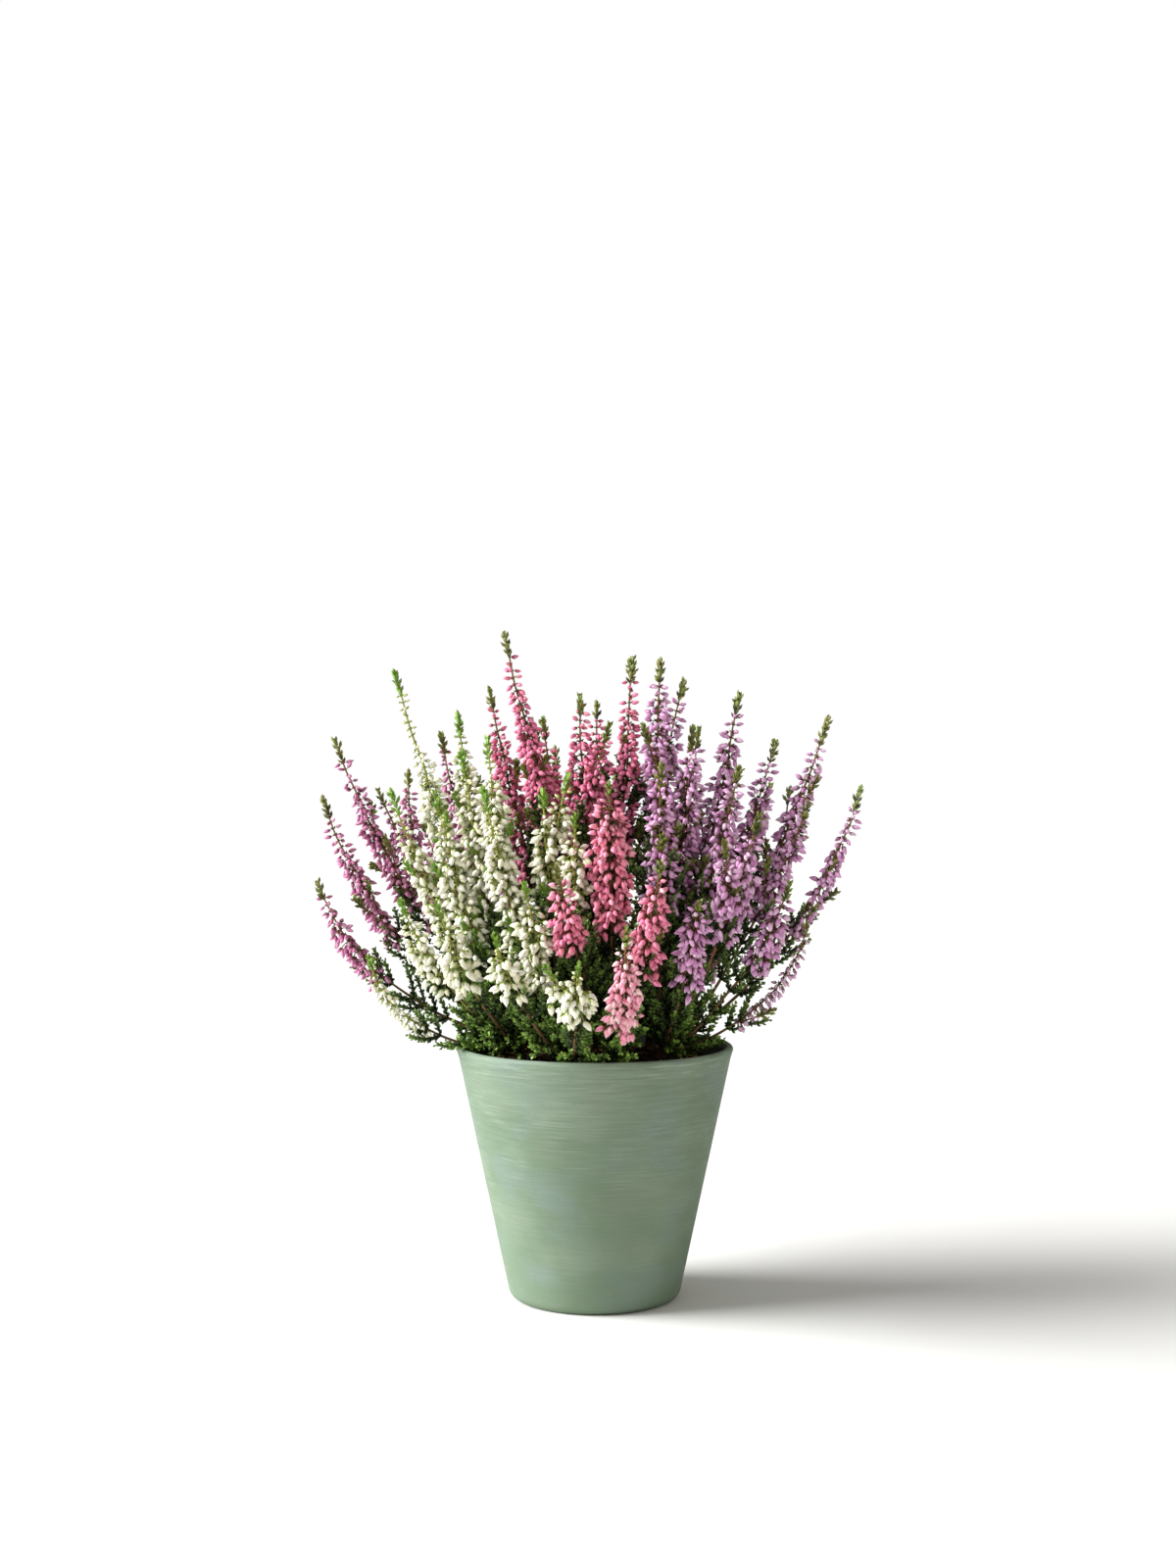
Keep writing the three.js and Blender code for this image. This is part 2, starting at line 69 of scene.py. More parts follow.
# Nodes: a wire is one output of a node, and sums and products of wires add Math nodes
class Wire:
    __add__ = __radd__ = mathsNode("ADD")
    __mul__ = __rmul__ = mathsNode("MULTIPLY")
    __sub__, __rsub__ = mathsNode("SUBTRACT"), mathsNode("SUBTRACT", True)
    __truediv__, __pow__ = mathsNode("DIVIDE"), mathsNode("POWER")
    __gt__, __lt__ = mathsNode("GREATER_THAN"), mathsNode("LESS_THAN")

    def __init__(self, graph, socket):
        self.graph, self.socket = graph, socket

    def out(self, name):
        return Wire(self.graph, self.socket.node.outputs[name])

    def parts(self):
        split = self.graph.add("ShaderNodeSeparateXYZ", {0: self})
        return [split.out(axis) for axis in "XYZ"]

    # A stretch of this value laid over another one, and held at both ends
    def span(self, low, high, start=0, end=1, way="LINEAR"):
        return self.graph.add("ShaderNodeMapRange", {0: self, 1: low, 2: high, 3: start, 4: end},
                              interpolation_type=way)

    # The same in millimetres
    def zone(self, low, high, start=0, end=1):
        return self.span(low * mm, high * mm, start, end)

    def blotches(self, scale=1, detail=2, rough=0.5):
        return self.graph.add("ShaderNodeTexNoise", {
            "Vector": self, "Scale": scale, "Detail": detail, "Roughness": rough})

    # Sends this geometry or object through one more node
    def into(self, kind, inputs=None, **settings):
        return self.graph.add("GeometryNode" + kind, {0: self, **(inputs or {})}, **settings)

    def shape(self):
        return self.into("ObjectInfo").out("Geometry")

    def painted(self, material, where=True):
        return self.into("SetMaterial", {"Material": material, "Selection": where})

    def store(self, name, value, kind="FLOAT", domain="POINT"):
        return self.into("StoreNamedAttribute", {"Name": name, "Value": value}, data_type=kind, domain=domain)

    def drop(self, where):
        return self.into("DeleteGeometry", {"Selection": where})

    def copies(self, amount):
        return self.into("DuplicateElements", {"Amount": amount})

    # Points at even steps along curves, which store their number as level, and the turn of the curve at each
    def stepped(self, pitch):
        points = self.into("CurveToPoints", {"Length": pitch}, mode="LENGTH")
        return points.store("level", self.graph.add("GeometryNodeInputIndex")), points.out("Rotation")

    def turned(self, angle, axis=(0, 0, 1)):
        about = self.graph.add("FunctionNodeAxisAngleToRotation", {"Axis": axis, "Angle": angle})
        return self.graph.add("FunctionNodeRotateRotation", {"Rotation": self, "Rotate By": about},
                              rotation_space="LOCAL")

    def bearing(self, shape, rotation, scale):
        return self.into("InstanceOnPoints", {"Instance": shape, "Rotation": rotation, "Scale": scale})

    # Arcs that grow from points: each leaves its foot along X and bends up along the stem, Z
    def arcs(self, rotation, length, steps, middle, end):
        arc = self.graph.add("GeometryNodeCurveQuadraticBezier", {
            "Resolution": steps, "Start": (0, 0, 0), "Middle": middle, "End": end})
        arcs = self.store("twigLength", length).bearing(arc, rotation, self.graph.read("twigLength"))
        return arcs.into("RealizeInstances")


class Graph:
    def __init__(self, tree, owner=None):
        self.tree, self.owner = tree, owner

    # Any other node: its settings and a ramp's stops are set first, then a value or wire at each socket
    def add(self, kind, inputs=None, output=0, stops=(), **settings):
        node = self.tree.nodes.new(kind)
        for name, setting in settings.items():
            setattr(node, name, setting)
        for k, (place, colour) in enumerate(stops):
            elements = node.color_ramp.elements
            element = elements[k] if k < 2 else elements.new(place)
            element.position, element.color = place, linear(colour)
        for name, given in (inputs or {}).items():
            if isinstance(given, Wire):
                self.tree.links.new(given.socket, node.inputs[name])
            else:
                node.inputs[name].default_value = given
        return Wire(self, node.outputs[output]) if node.outputs else None

    def maths(self, operation, *values):
        return self.add("ShaderNodeMath", dict(enumerate(values)), operation=operation)

    def vectors(self, operation, *values, output=0):
        return self.add("ShaderNodeVectorMath", dict(enumerate(values)), output, operation=operation)

    def xyz(self, x=0, y=0, z=0):
        return self.add("ShaderNodeCombineXYZ", {0: x, 1: y, 2: z})

    def mix(self, factor, a, b, blend="MIX"):
        a, b = (linear(colour) if isinstance(colour, tuple) else colour for colour in (a, b))
        return self.add("ShaderNodeMix", {0: factor, 6: a, 7: b}, 2, data_type="RGBA", blend_type=blend)

    # Geometry fields
    def read(self, name, kind="FLOAT"):
        return self.add("GeometryNodeInputNamedAttribute", {"Name": name}, data_type=kind)

    def chance(self, low, high, draw):
        return self.add("FunctionNodeRandomValue", {2: low, 3: high, 8: self.seed + draw}, 1)

    # The place of each point, and how far it is from the pot's axis
    def position(self):
        x, y, z = self.add("GeometryNodeInputPosition").parts()
        return x, y, z, self.maths("SQRT", x * x + y * y)

    def join(self, *geometries):
        joined = self.add("GeometryNodeJoinGeometry")
        for geometry in geometries:
            self.tree.links.new(geometry.socket, joined.socket.node.inputs[0])
        return joined


# A tree with an input for each setting and more of each kind. Its seed is added to each draw's number.
def newTree(name, settings, **more):
    tree = bpy.data.node_groups.new(name, "GeometryNodeTree")
    kinds = {label: type(value).__name__.title() for label, value in settings.items()}
    kinds.update((label, kind) for kind, labels in more.items() for label in labels.split())
    for label, kind in {"geometry": "Geometry", **kinds}.items():
        tree.interface.new_socket(label, in_out="INPUT", socket_type="NodeSocket" + kind)
    tree.interface.new_socket("Geometry", in_out="OUTPUT", socket_type="NodeSocketGeometry")
    graph = Graph(tree)
    inputs = graph.add("NodeGroupInput").socket.node.outputs
    given = SimpleNamespace(**{socket.name: Wire(graph, socket) for socket in inputs if socket.name})
    graph.seed = given.seed
    return graph, given


def placed(name, data):
    thing = bpy.data.objects.new(name, data)
    bpy.context.scene.collection.objects.link(thing)
    return thing


def newMesh(name, points, faces, edges=()):
    mesh = bpy.data.meshes.new(name)
    mesh.from_pydata(points, edges, faces)
    return mesh


scratch = "fromTip tipLength bare number level ripe twigLength alongTwig alongStem aroundStem tone part"


# Runs a tree on a mesh, for a plain object
def grown(name, mesh, tree, values):
    seedling = placed(name + "Paths", mesh)
    modifier = seedling.modifiers.new("Growth", "NODES")
    modifier.node_group = tree
    for item in tree.interface.items_tree:
        if item.in_out == "INPUT" and item.name in values:
            modifier[item.identifier] = values[item.name]
    bpy.context.view_layer.update()
    ready = seedling.evaluated_get(bpy.context.evaluated_depsgraph_get())
    result = bpy.data.meshes.new_from_object(ready)
    bpy.data.objects.remove(seedling)
    bpy.data.meshes.remove(mesh)
    for label in scratch.split():
        if label in result.attributes:
            result.attributes.remove(result.attributes[label])
    result.name = name
    return placed(name, result)


def linear(colour):
    return tuple(((c / 255 + 0.055) / 1.055) ** 2.4 if c > 10 else c / 3294.6 for c in colour) + (1.0,)


def seat(piece, slotName, *nodes):
    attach(piece, "root")
    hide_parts(*nodes)


def emptied(owner):
    owner.use_nodes = True
    owner.node_tree.nodes.clear()
    return Graph(owner.node_tree, owner)


def newMaterial(name):
    return emptied(bpy.data.materials.new(name))


# The shader that ends a material's nodes, with a constant or a wire at each socket
def surface(graph, colour, roughness, specular, **inputs):
    shader = graph.add("ShaderNodeBsdfPrincipled", {
        "Base Color": colour, "Roughness": roughness, "Specular IOR Level": specular, **inputs})
    graph.add("ShaderNodeOutputMaterial", {"Surface": shader})
    return graph.owner


# Camera, light and floor
studio = {
    "camera": (-3.2 * mm, -1.0, 0.25), "lens": 48.8, "sensor": 36, "shift": -21 / 1600, "nearest": 0.01,
    "skyLeft": 0.56, "skyRight": 0.15, "softness": 40,
    "key": 6.7, "keyTurn": (62, 0, -85), "keyColour": (1, 1, 1),
    "fill": 0.5, "fillTurn": (60, 0, 60), "fillColour": (1.0, 0.92, 0.74),
    "floor": (230, 230, 228), "floorHalf": 6.0,
}


def buildStudio():
    scene = bpy.context.scene
    scene.view_settings.view_transform = "Standard"
    lens = bpy.data.cameras.new("photoLens")
    lens.lens, lens.sensor_width, lens.sensor_fit = studio["lens"], studio["sensor"], "AUTO"
    lens.shift_y, lens.clip_start = studio["shift"], studio["nearest"]
    camera = placed("photoCamera", lens)
    camera.location, camera.rotation_euler = studio["camera"], (pi / 2, 0, 0)
    scene.camera = camera
    for name in ("key", "fill"):
        light = bpy.data.lights.new(name + "Light", "SUN")
        light.energy, light.color = studio[name], studio[name + "Colour"]
        light.angle = radians(studio["softness"])
        placed(name + "Light", light).rotation_euler = [radians(a) for a in studio[name + "Turn"]]
    scene.world = bpy.data.worlds.new("studioSky")
    graph = emptied(scene.world)
    seen = graph.add("ShaderNodeLightPath")  # the back wall is white, and the soft lamps stand on the left
    side = graph.add("ShaderNodeTexCoord").out("Generated").parts()[0]
    soft = side.span(-1, 1, studio["skyLeft"], studio["skyRight"])
    glow = graph.add("ShaderNodeBackground", {"Color": (1, 1, 1, 1), "Strength": soft + seen * (1 - soft)})
    graph.add("ShaderNodeOutputWorld", {"Surface": glow})
    half = studio["floorHalf"]
    corners = [(x * half, y * half, 0) for x, y in ((-1, -1), (1, -1), (1, 1), (-1, 1))]
    mesh = newMesh("floor", corners, [(0, 1, 2, 3)])
    mesh.materials.append(surface(newMaterial("paleFloor"), linear(studio["floor"]), 0.9, 0.1))
    floor = placed("floor", mesh)
    floor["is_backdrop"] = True
    print("studio set")


# Pot, in millimetres. A noise has its scale across and up, a shift, detail and roughness, and a wash has the
# noise that it follows, the stretch of it that counts, strength and colour.
pot = {
    "height": 118, "topRadius": 65, "footRadius": 39.5, "wall": 3.6, "floor": 6, "heel": 4, "sides": 144,
    "recess": 0.9, "ringInside": 9, "ringOutside": 7.5, "corner": 3,
    "steps": {"heel": 8, "wall": 28, "lip": 8, "inside": 12},
    # the dark colour of the inner wall is painted shade inside the pot
    "sage": (120, 138, 117), "wash": (149, 163, 146), "innerShade": (52, 56, 44),
    "worn": (25 * mm, 88 * mm), "rimBand": (102 * mm, 114 * mm),
    "noises": {"brushed": (40, 1500, 3.1, 2.0, 0.6), "strokes": (60, 900, 7.7, 3.0, 0.6),
               "clouds": (20, 24, 5.2, 2.0, 0.5), "tint": (28, 38, 9.6, 3.0, 0.5),
               "patches": (34, 46, 1.4, 3.0, 0.5), "grain": (1400, 1400, 0.3, 1.0, 0.5)},
    "washes": [("clouds", 0.36, 0.62, 1.0, (111, 130, 107)), ("patches", 0.45, 0.7, 0.5, (130, 146, 126)),
               ("tint", 0.5, 0.7, 0.6, (120, 137, 129)), ("tint", 0.48, 0.34, 0.3, (127, 137, 118))],
}
lean = (pot["topRadius"] - pot["footRadius"]) / pot["height"]


def insideRadius(height):
    return pot["footRadius"] + lean * height - pot["wall"]


# A turned body: a profile in millimetres starts and ends on the axis, and every second side may stand out
def turnedBody(profile, sides, ridge=1, valley=1):
    points, faces = [], []
    for radius, height in profile:
        for side in range(sides if radius else 1):
            angle, wide = 2 * pi * side / sides, radius * mm * (ridge if side % 2 else valley)
            points.append((wide * cos(angle), wide * sin(angle), height * mm))
    last = len(points) - 1 - sides
    for side in range(sides):
        onward = (side + 1) % sides
        faces.append((0, 1 + onward, 1 + side))
        for ring in range(1, last, sides):
            faces.append((ring + side, ring + onward, ring + sides + onward, ring + sides + side))
        faces.append((last + side, last + onward, len(points) - 1))
    return points, faces


def turnedMesh(name, profile, sides):
    mesh = newMesh(name, *turnedBody(profile, sides))
    mesh.shade_smooth()
    return mesh


def potMaterial():
    graph = newMaterial("brushedSageGlaze")
    place = graph.add("ShaderNodeTexCoord").out("Object")
    height, noises, colour = place.parts()[2], {}, pot["sage"]
    for name, (across, up, shift, detail, rough) in pot["noises"].items():
        stretched = graph.vectors("MULTIPLY_ADD", place, (across, across, up), (shift, shift, shift))
        noises[name] = stretched.blotches(1, detail, rough)
    for name, low, high, strength, wash in pot["washes"]:
        colour = graph.mix(noises[name].span(low, high, way="SMOOTHSTEP") * strength, colour, wash)
    brushed, strokes, grain = noises["brushed"], noises["strokes"], noises["grain"]
    worn = height.span(*pot["worn"], 0.3, 1, "SMOOTHSTEP") * noises["patches"].span(0.3, 0.6, 0.4, 1)
    colour = graph.mix(worn * strokes.span(0.55, 0.75) * 0.5, colour, pot["wash"])
    edge = height.span(*pot["rimBand"], way="SMOOTHSTEP")
    colour = graph.mix(edge * strokes.span(0.46, 0.66) * 0.45, colour, pot["wash"])
    lines = brushed.span(0.3, 0.7, -0.5, 0.5) * worn * 0.3
    colour = graph.mix(1, colour, (lines + 1) * grain.span(0.3, 0.7, 0.965, 1.035), "MULTIPLY")
    flat = graph.vectors("MULTIPLY", place, (1, 1, 0))
    wallRadius = graph.vectors("LENGTH", flat, output=1) - height * lean
    inner = pot["footRadius"] - pot["wall"]
    # Painted shade: the inner wall below the rim is darkened, standing in for the shade inside the pot
    inside = wallRadius.zone(inner + 0.9, inner + 0.3) * height.zone(119, 115)
    colour = graph.mix(inside * 0.85, colour, pot["innerShade"])  # painted shade inside the pot
    relief = brushed * 0.7 + strokes * 0.4 + grain * 0.2
    bump = graph.add("ShaderNodeBump", {"Strength": 0.45, "Distance": 0.22 * mm, "Height": relief})
    return surface(graph, colour, strokes.span(0.3, 0.7, 0.62, 0.82), 0.3, Normal=bump)


def buildPot():
    foot, heel, floor, corner = (pot[name] for name in ("footRadius", "heel", "floor", "corner"))
    lip, steps = pot["wall"] / 2, pot["steps"]
    lipRadius, lipHeight = pot["topRadius"] - lip, pot["height"] - lip
    profile = [(0, pot["recess"]), (foot - pot["ringInside"], pot["recess"]), (foot - pot["ringOutside"], 0)]
    for step in range(steps["heel"] + 1):
        angle = pi / 2 * step / steps["heel"]
        height = heel * (1 - cos(angle))
        profile.append((foot + lean * height - heel * (1 - sin(angle)), height))
    for step in range(1, steps["wall"]):
        height = heel + (lipHeight - heel) * step / steps["wall"]
        profile.append((foot + lean * height, height))
    for step in range(steps["lip"] + 1):
        angle = pi * step / steps["lip"]
        profile.append((lipRadius + lip * cos(angle), lipHeight + lip * sin(angle)))
    for step in range(1, steps["inside"] + 1):
        height = lipHeight + (floor + corner - lipHeight) * step / steps["inside"]
        profile.append((insideRadius(height), height))
    profile += [(insideRadius(floor) - corner, floor), (0, floor)]
    shell = placed("potShell", turnedMesh("potShell", profile, pot["sides"]))
    shell.data.materials.append(potMaterial())
    seat(shell, "pot", "pot")
    print("pot made")


# Soil: a mound in millimetres, and what is scattered on it
soil = {
    "edge": 108, "mound": 5, "rough": 1.1, "rings": 26, "sides": 88, "bottom": 6.3, "clear": 0.65,
    "wallSteps": 6, "wallTop": 106, "bareBelow": 105, "peat": (44, 30, 21), "damp": (24, 16, 11),
    "fibre": (104, 78, 52), "dry": [(0.3, (66, 44, 28)), (0.5, (112, 78, 48)), (0.68, (150, 118, 78))],
}
scatter = {
    "crumbDensity": 90000.0, "crumbLeast": 0.5 * mm, "crumbMost": 1.9 * mm,
    "litterDensity": 26000.0, "litterLeast": 2.5 * mm, "litterMost": 8.0 * mm, "seed": 12,
}


def soilTop(x, y):
    share = hypot(x, y) / pot["topRadius"]
    return soil["edge"] + soil["mound"] * (1 - share * share)


def soilMaterial():
    graph = newMaterial("dampPeat")
    place = graph.add("ShaderNodeTexCoord").out("Object")
    lumps, specks = place.blotches(260, 4, 0.7), place.blotches(900, 2)
    colour = graph.mix(lumps.span(0.35, 0.62), soil["damp"], soil["peat"])
    colour = graph.mix(specks.span(0.62, 0.74) * 0.6, colour, soil["fibre"])
    bump = graph.add("ShaderNodeBump", {"Strength": 0.6, "Distance": 0.6 * mm, "Height": lumps})
    return surface(graph, colour, 0.95, 0.15, Normal=bump)


def litterMaterial():
    graph = newMaterial("dryLitter")
    patches = graph.add("ShaderNodeTexCoord").out("Object").blotches(120, 3)
    return surface(graph, graph.add("ShaderNodeValToRGB", {"Fac": patches}, stops=soil["dry"]), 0.9, 0.2)


def soilTree():
    graph, given = newTree("soilScatter", scatter, Object="crumb litter", Material="peat dry")
    ground = given.geometry.store("part", 0, "INT", "FACE")
    top = graph.position()[2] > soil["bareBelow"] * mm

    def scattered(kind, draw, flat):
        density, least, most = (getattr(given, kind + word) for word in ("Density", "Least", "Most"))
        spots = ground.into("DistributePointsOnFaces", {"Density": density * top, "Seed": graph.seed + draw})
        spin = spots.out("Rotation").turned(graph.chance(0, wholeTurn, draw + 1))
        tip = spin.turned(graph.chance(-flat, flat, draw + 2), (0, 1, 0))
        size = least + (most - least) * graph.chance(0, 1, draw + 3) ** 2
        return spots.bearing(getattr(given, kind).shape(), tip, size)

    laid = graph.join(ground, scattered("crumb", 10, 3), scattered("litter", 20, 0.3))
    laid = laid.into("RealizeInstances").painted(given.peat)
    graph.add("NodeGroupOutput", {"Geometry": laid.painted(given.dry, graph.read("part", "INT") > 0.5)})
    return graph.tree


def buildSoil():
    edge, bottom, steps, rings = soil["edge"], soil["bottom"], soil["wallSteps"], soil["rings"]
    heights = [bottom + (soil["wallTop"] - bottom) * step / steps for step in range(steps + 1)]
    profile = [(0, bottom), *[(insideRadius(height) - soil["clear"], height) for height in heights]]
    wide = insideRadius(edge) - soil["clear"]
    profile += [*[(wide * (1 - ring / rings), edge) for ring in range(rings)], (0, edge)]
    mesh = turnedMesh("soilGround", profile, soil["sides"])
    for vertex in mesh.vertices:
        x, y, z = vertex.co / mm
        if z > edge - 1:
            lump = noise.fractal(Vector((x, y, 0)) * 0.16, 0.8, 2.0, 4)
            lump += 0.5 * noise.noise(Vector((x, y, 5)) * 0.5)
            vertex.co.z = (soilTop(x, y) + soil["rough"] * lump) * mm
    piece = grown("pottingSoil", mesh, soilTree(), {
        **scatter, "crumb": template("crumb", *crumbShape()), "litter": leafTemplate("litter"),
        "peat": soilMaterial(), "dry": litterMaterial()})
    seat(piece, "soil", "soil")
    print("soil made")


# Small shapes that are repeated: points, and faces with their part and place on the colour sheet, which has
# a band for each part
bands = {"petal": (0.02, 0.46), "leaf": (0.50, 0.72), "twig": (0.76, 0.86), "calyx": (0.90, 0.98)}
partOf = {"petal": 0, "leaf": 1, "twig": 2, "calyx": 2}
columns, columnEdge = 16, 0.12
peak = [(0, 0), (1, 0), (0.5, 1)]


def template(name, points, faces):
    mesh = newMesh(name, points, [corners for band, corners, places in faces])
    part = mesh.attributes.new("part", "INT", "FACE")
    part.data.foreach_set("value", [partOf[band] for band, corners, places in faces])
    uvs = []
    for band, corners, places in faces:
        low, high = bands[band]
        uvs += [value for around, along in places for value in (around, low + (high - low) * along)]
    mesh.uv_layers.new(name="OFBake").data.foreach_set("uv", uvs)
    mesh.update()
    return bpy.data.objects.new(name, mesh)


def crumbShape():
    ring = [(cos(a) * r, sin(a) * r, z) for a, r, z in
            [(0, 1, 0.1), (1.3, 0.8, -0.1), (2.4, 1.05, 0.15), (3.7, 0.85, -0.05), (4.9, 1.1, 0.1)]]
    corners = [(k, (k + 1) % 5, 5) for k in range(5)] + [((k + 1) % 5, k, 6) for k in range(5)]
    return [*ring, (0.1, 0.0, 0.75), (-0.1, 0.1, -0.7)], [("petal", face, peak) for face in corners]


# A flake of bark, and two leaves along +Z with their keels on +X, each one unit long: points, faces, places
flake = [[(0, 0), (0.5, 0.1), (1, 0)]]
leafShapes = {"litter": (
    [(-0.5, -0.05, 0.03), (-0.5, 0.05, 0.03), (-0.5, 0, 0.12), (0.05, -0.06, 0.09), (0.05, 0.06, 0.09),
     (0.05, 0, 0.19), (0.5, 0.02, 0.05)],
    [(0, 2, 1), (0, 3, 5, 2), (2, 5, 4, 1), (1, 4, 3, 0), (3, 6, 5), (5, 6, 4), (4, 6, 3)],
    flake + [[(0, 0), (0, 0.5), (1, 0.5), (1, 0)]] * 3 + [[(0, 0.5), (0.5, 1), (1, 0.5)]] * 3,
), "tipLeaf": (
    [(0, -0.14, 0), (0, 0.14, 0), (0.14, 0, 0), (-0.02, -0.23, 0.58), (-0.02, 0.23, 0.58), (0.26, 0, 0.52),
     (0.10, 0, 1)],
    [(0, 1, 2), (0, 2, 5, 3), (2, 1, 4, 5), (1, 0, 3, 4), (3, 5, 6), (5, 4, 6), (4, 3, 6)],
    flake + [[(0, 0), (1, 0), (1, 0.42), (0, 0.42)]] * 3 + [[(0, 0.42), (1, 0.42), (0.5, 1)]] * 3,
), "scaleLeaf": (
    [(0, 0, 0), (0.03, -0.34, 0.66), (0.03, 0.34, 0.66), (0.36, 0, 0.6), (0.2, 0, 1)],
    [(0, 3, 1), (0, 2, 3), (1, 3, 4), (3, 2, 4), (0, 1, 4, 2)],
    [[(0.5, 0), (0.5, 0.4), (0, 0.45)], [(0.5, 0), (1, 0.45), (0.5, 0.4)], [(0, 0.45), (0.5, 0.4), (0.5, 1)],
     [(0.5, 0.4), (1, 0.45), (0.5, 1)], [(0.5, 0), (0, 0.45), (0.5, 1), (1, 0.45)]],
)}


def leafTemplate(name):
    points, corners, places = leafShapes[name]
    return template(name, points, [("leaf", *face) for face in zip(corners, places)])


# A bud stands along +Z on a thin stalk from its own origin, in millimetres. A ring has its share of the
# length and its radius, and a point of a sepal lies out, aside and up from the bud's foot.
bud = {"stalk": 0.9, "stalkRadius": 0.17, "length": 4.4, "rings": [(0.06, 0.70), (0.34, 1.2), (0.68, 0.86)],
       "sides": 6, "ridge": 1.06, "valley": 0.94, "sepals": 3, "sepalTurn": 0.4,
       "sepal": [(0.25, 0.5, 0), (0.25, -0.5, 0), (0.95, 0, 0.45), (1.35, 0, 1.6)]}


def budShape():
    rings, sides, foot, length = bud["rings"], bud["sides"], bud["stalk"], bud["length"]
    profile = [(0, foot - 0.1), *[(r, foot + share * length) for share, r in rings], (0, foot + length)]
    points, petals = turnedBody(profile, sides, bud["ridge"], bud["valley"])
    shares, faces = [0, *[share for share, radius in rings], 1], []
    for k, corners in enumerate(petals):
        side, ring = divmod(k, len(rings) + 1)
        a, b = abs(2 * side / sides - 1), abs(2 * (side + 1) / sides - 1)
        low, high = shares[ring:ring + 2]
        places = [(a, low), (b, low), (b, high), (a, high)]
        if ring == 0:
            places[:2] = [((a + b) / 2, 0)]
        elif ring == len(rings):
            places[2:] = [((a + b) / 2, 1)]
        faces.append(("petal", corners, places))
    stalk, wide = len(points), bud["stalkRadius"] * mm
    for height in (-0.4, foot + 0.3):
        for angle in (2 * pi * side / 3 for side in range(3)):
            points.append((wide * cos(angle), wide * sin(angle), height * mm))
    for side, onward in ((0, 1), (1, 2), (2, 0)):
        corners = (stalk + side, stalk + onward, stalk + 3 + onward, stalk + 3 + side)
        faces.append(("twig", corners, [(0, 0), (1, 0), (1, 1), (0, 1)]))
    faces += [("twig", tuple(stalk + k for k in cap), peak) for cap in ((2, 1, 0), (3, 4, 5))]
    for sepal in range(bud["sepals"]):
        angle, first = 2 * pi * sepal / bud["sepals"] + bud["sepalTurn"], len(points)
        out, aside = Vector((cos(angle), sin(angle), 0)), Vector((-sin(angle), cos(angle), 0))
        for outward, sideways, up in bud["sepal"]:
            points.append(tuple((out * outward + aside * sideways + Vector((0, 0, foot - 0.15 + up))) * mm))
        for a, b, c in ((0, 1, 3), (1, 2, 3), (2, 0, 3), (0, 2, 1)):
            faces.append(("calyx", (first + a, first + b, first + c), [(0, 0), (1, 0.2), (0.5, 1)]))
    return points, faces


def tube(path, radius, sides, band, tone):
    graph = path.graph
    factor = graph.add("GeometryNodeSplineParameter")
    circle = graph.add("GeometryNodeCurvePrimitiveCircle", {"Resolution": sides, "Radius": 1})
    ring = circle.store("aroundStem", graph.maths("ABSOLUTE", factor * 2 - 1))
    stem = path.store("alongStem", factor).into(
        "CurveToMesh", {"Profile Curve": ring, "Scale": radius, "Fill Caps": True})
    low, high = bands[band]
    place = graph.xyz(graph.read("aroundStem"), graph.read("alongStem") * (high - low) + low)
    stem = stem.store("OFBake", place, "FLOAT2", "CORNER").store("tone", tone)
    return stem.store("part", partOf[band], "INT", "FACE")


# Joins the parts of a plant, lays them on the colour sheet and gives them their materials
def finishPlant(graph, given, *geometries):
    column = graph.maths("FLOOR", graph.read("tone").span(0, 1) * (columns - 0.01))
    across, up = graph.read("OFBake", "FLOAT_VECTOR").parts()[:2]
    place = graph.xyz((column + columnEdge + across * (1 - 2 * columnEdge)) / columns, up)
    part = graph.read("part", "INT")
    flat = graph.maths("COMPARE", part, 1, 0.1)  # leaves are flat, and flowers and wood are round
    laid = graph.join(*geometries).into("RealizeInstances").store("OFBake", place, "FLOAT2", "CORNER")
    laid = laid.into("SetShadeSmooth", {"Shade Smooth": 1 - flat}).painted(given.petals)
    laid = laid.painted(given.leaves, part > 0.5).painted(given.twigs, part > 1.5)
    graph.add("NodeGroupOutput", {"Geometry": laid})
    return graph.tree


# Crossed pairs of leaves at points along a stem, a quarter turn on from level to level
def leafPairs(points, rotation, shape, size, width, tilt, tone, draw, pairs=2):
    graph, twins = points.graph, points.copies(pairs)
    angle = graph.read("level") * (pi / 2) + twins.out("Duplicate Index") * (2 * pi / pairs)
    turn = rotation.turned(angle + graph.chance(-0.3, 0.3, draw))
    turn = turn.turned(tilt + graph.chance(-0.16, 0.16, draw + 1), (0, 1, 0))
    long = size * graph.chance(0.78, 1.2, draw + 2)
    toned = twins.store("tone", tone + graph.chance(-0.22, 0.22, draw + 3))
    return toned.bearing(shape.shape(), turn, graph.xyz(long * width, long * width, long))


# Flower spikes: short twigs in whorls up the stem, each with hanging buds, under a leafy green tip, and now
# and then a leafy shoot between the flowers
bloom = {
    "whorlPitch": 3.2 * mm, "twigTop": 0.9 * mm, "twigFoot": 4.1 * mm, "budPitch": 3.4 * mm, "budsEach": 2,
    "droop": 1.0, "sag": 0.55, "leafPitch": 1.75 * mm, "tipLeaf": 3.8 * mm, "tuft": 5.2 * mm,
    "shootPitch": 8 * mm, "shootLength": 20 * mm, "stemTop": 0.36 * mm, "stemFoot": 0.74 * mm, "seed": 31,
}


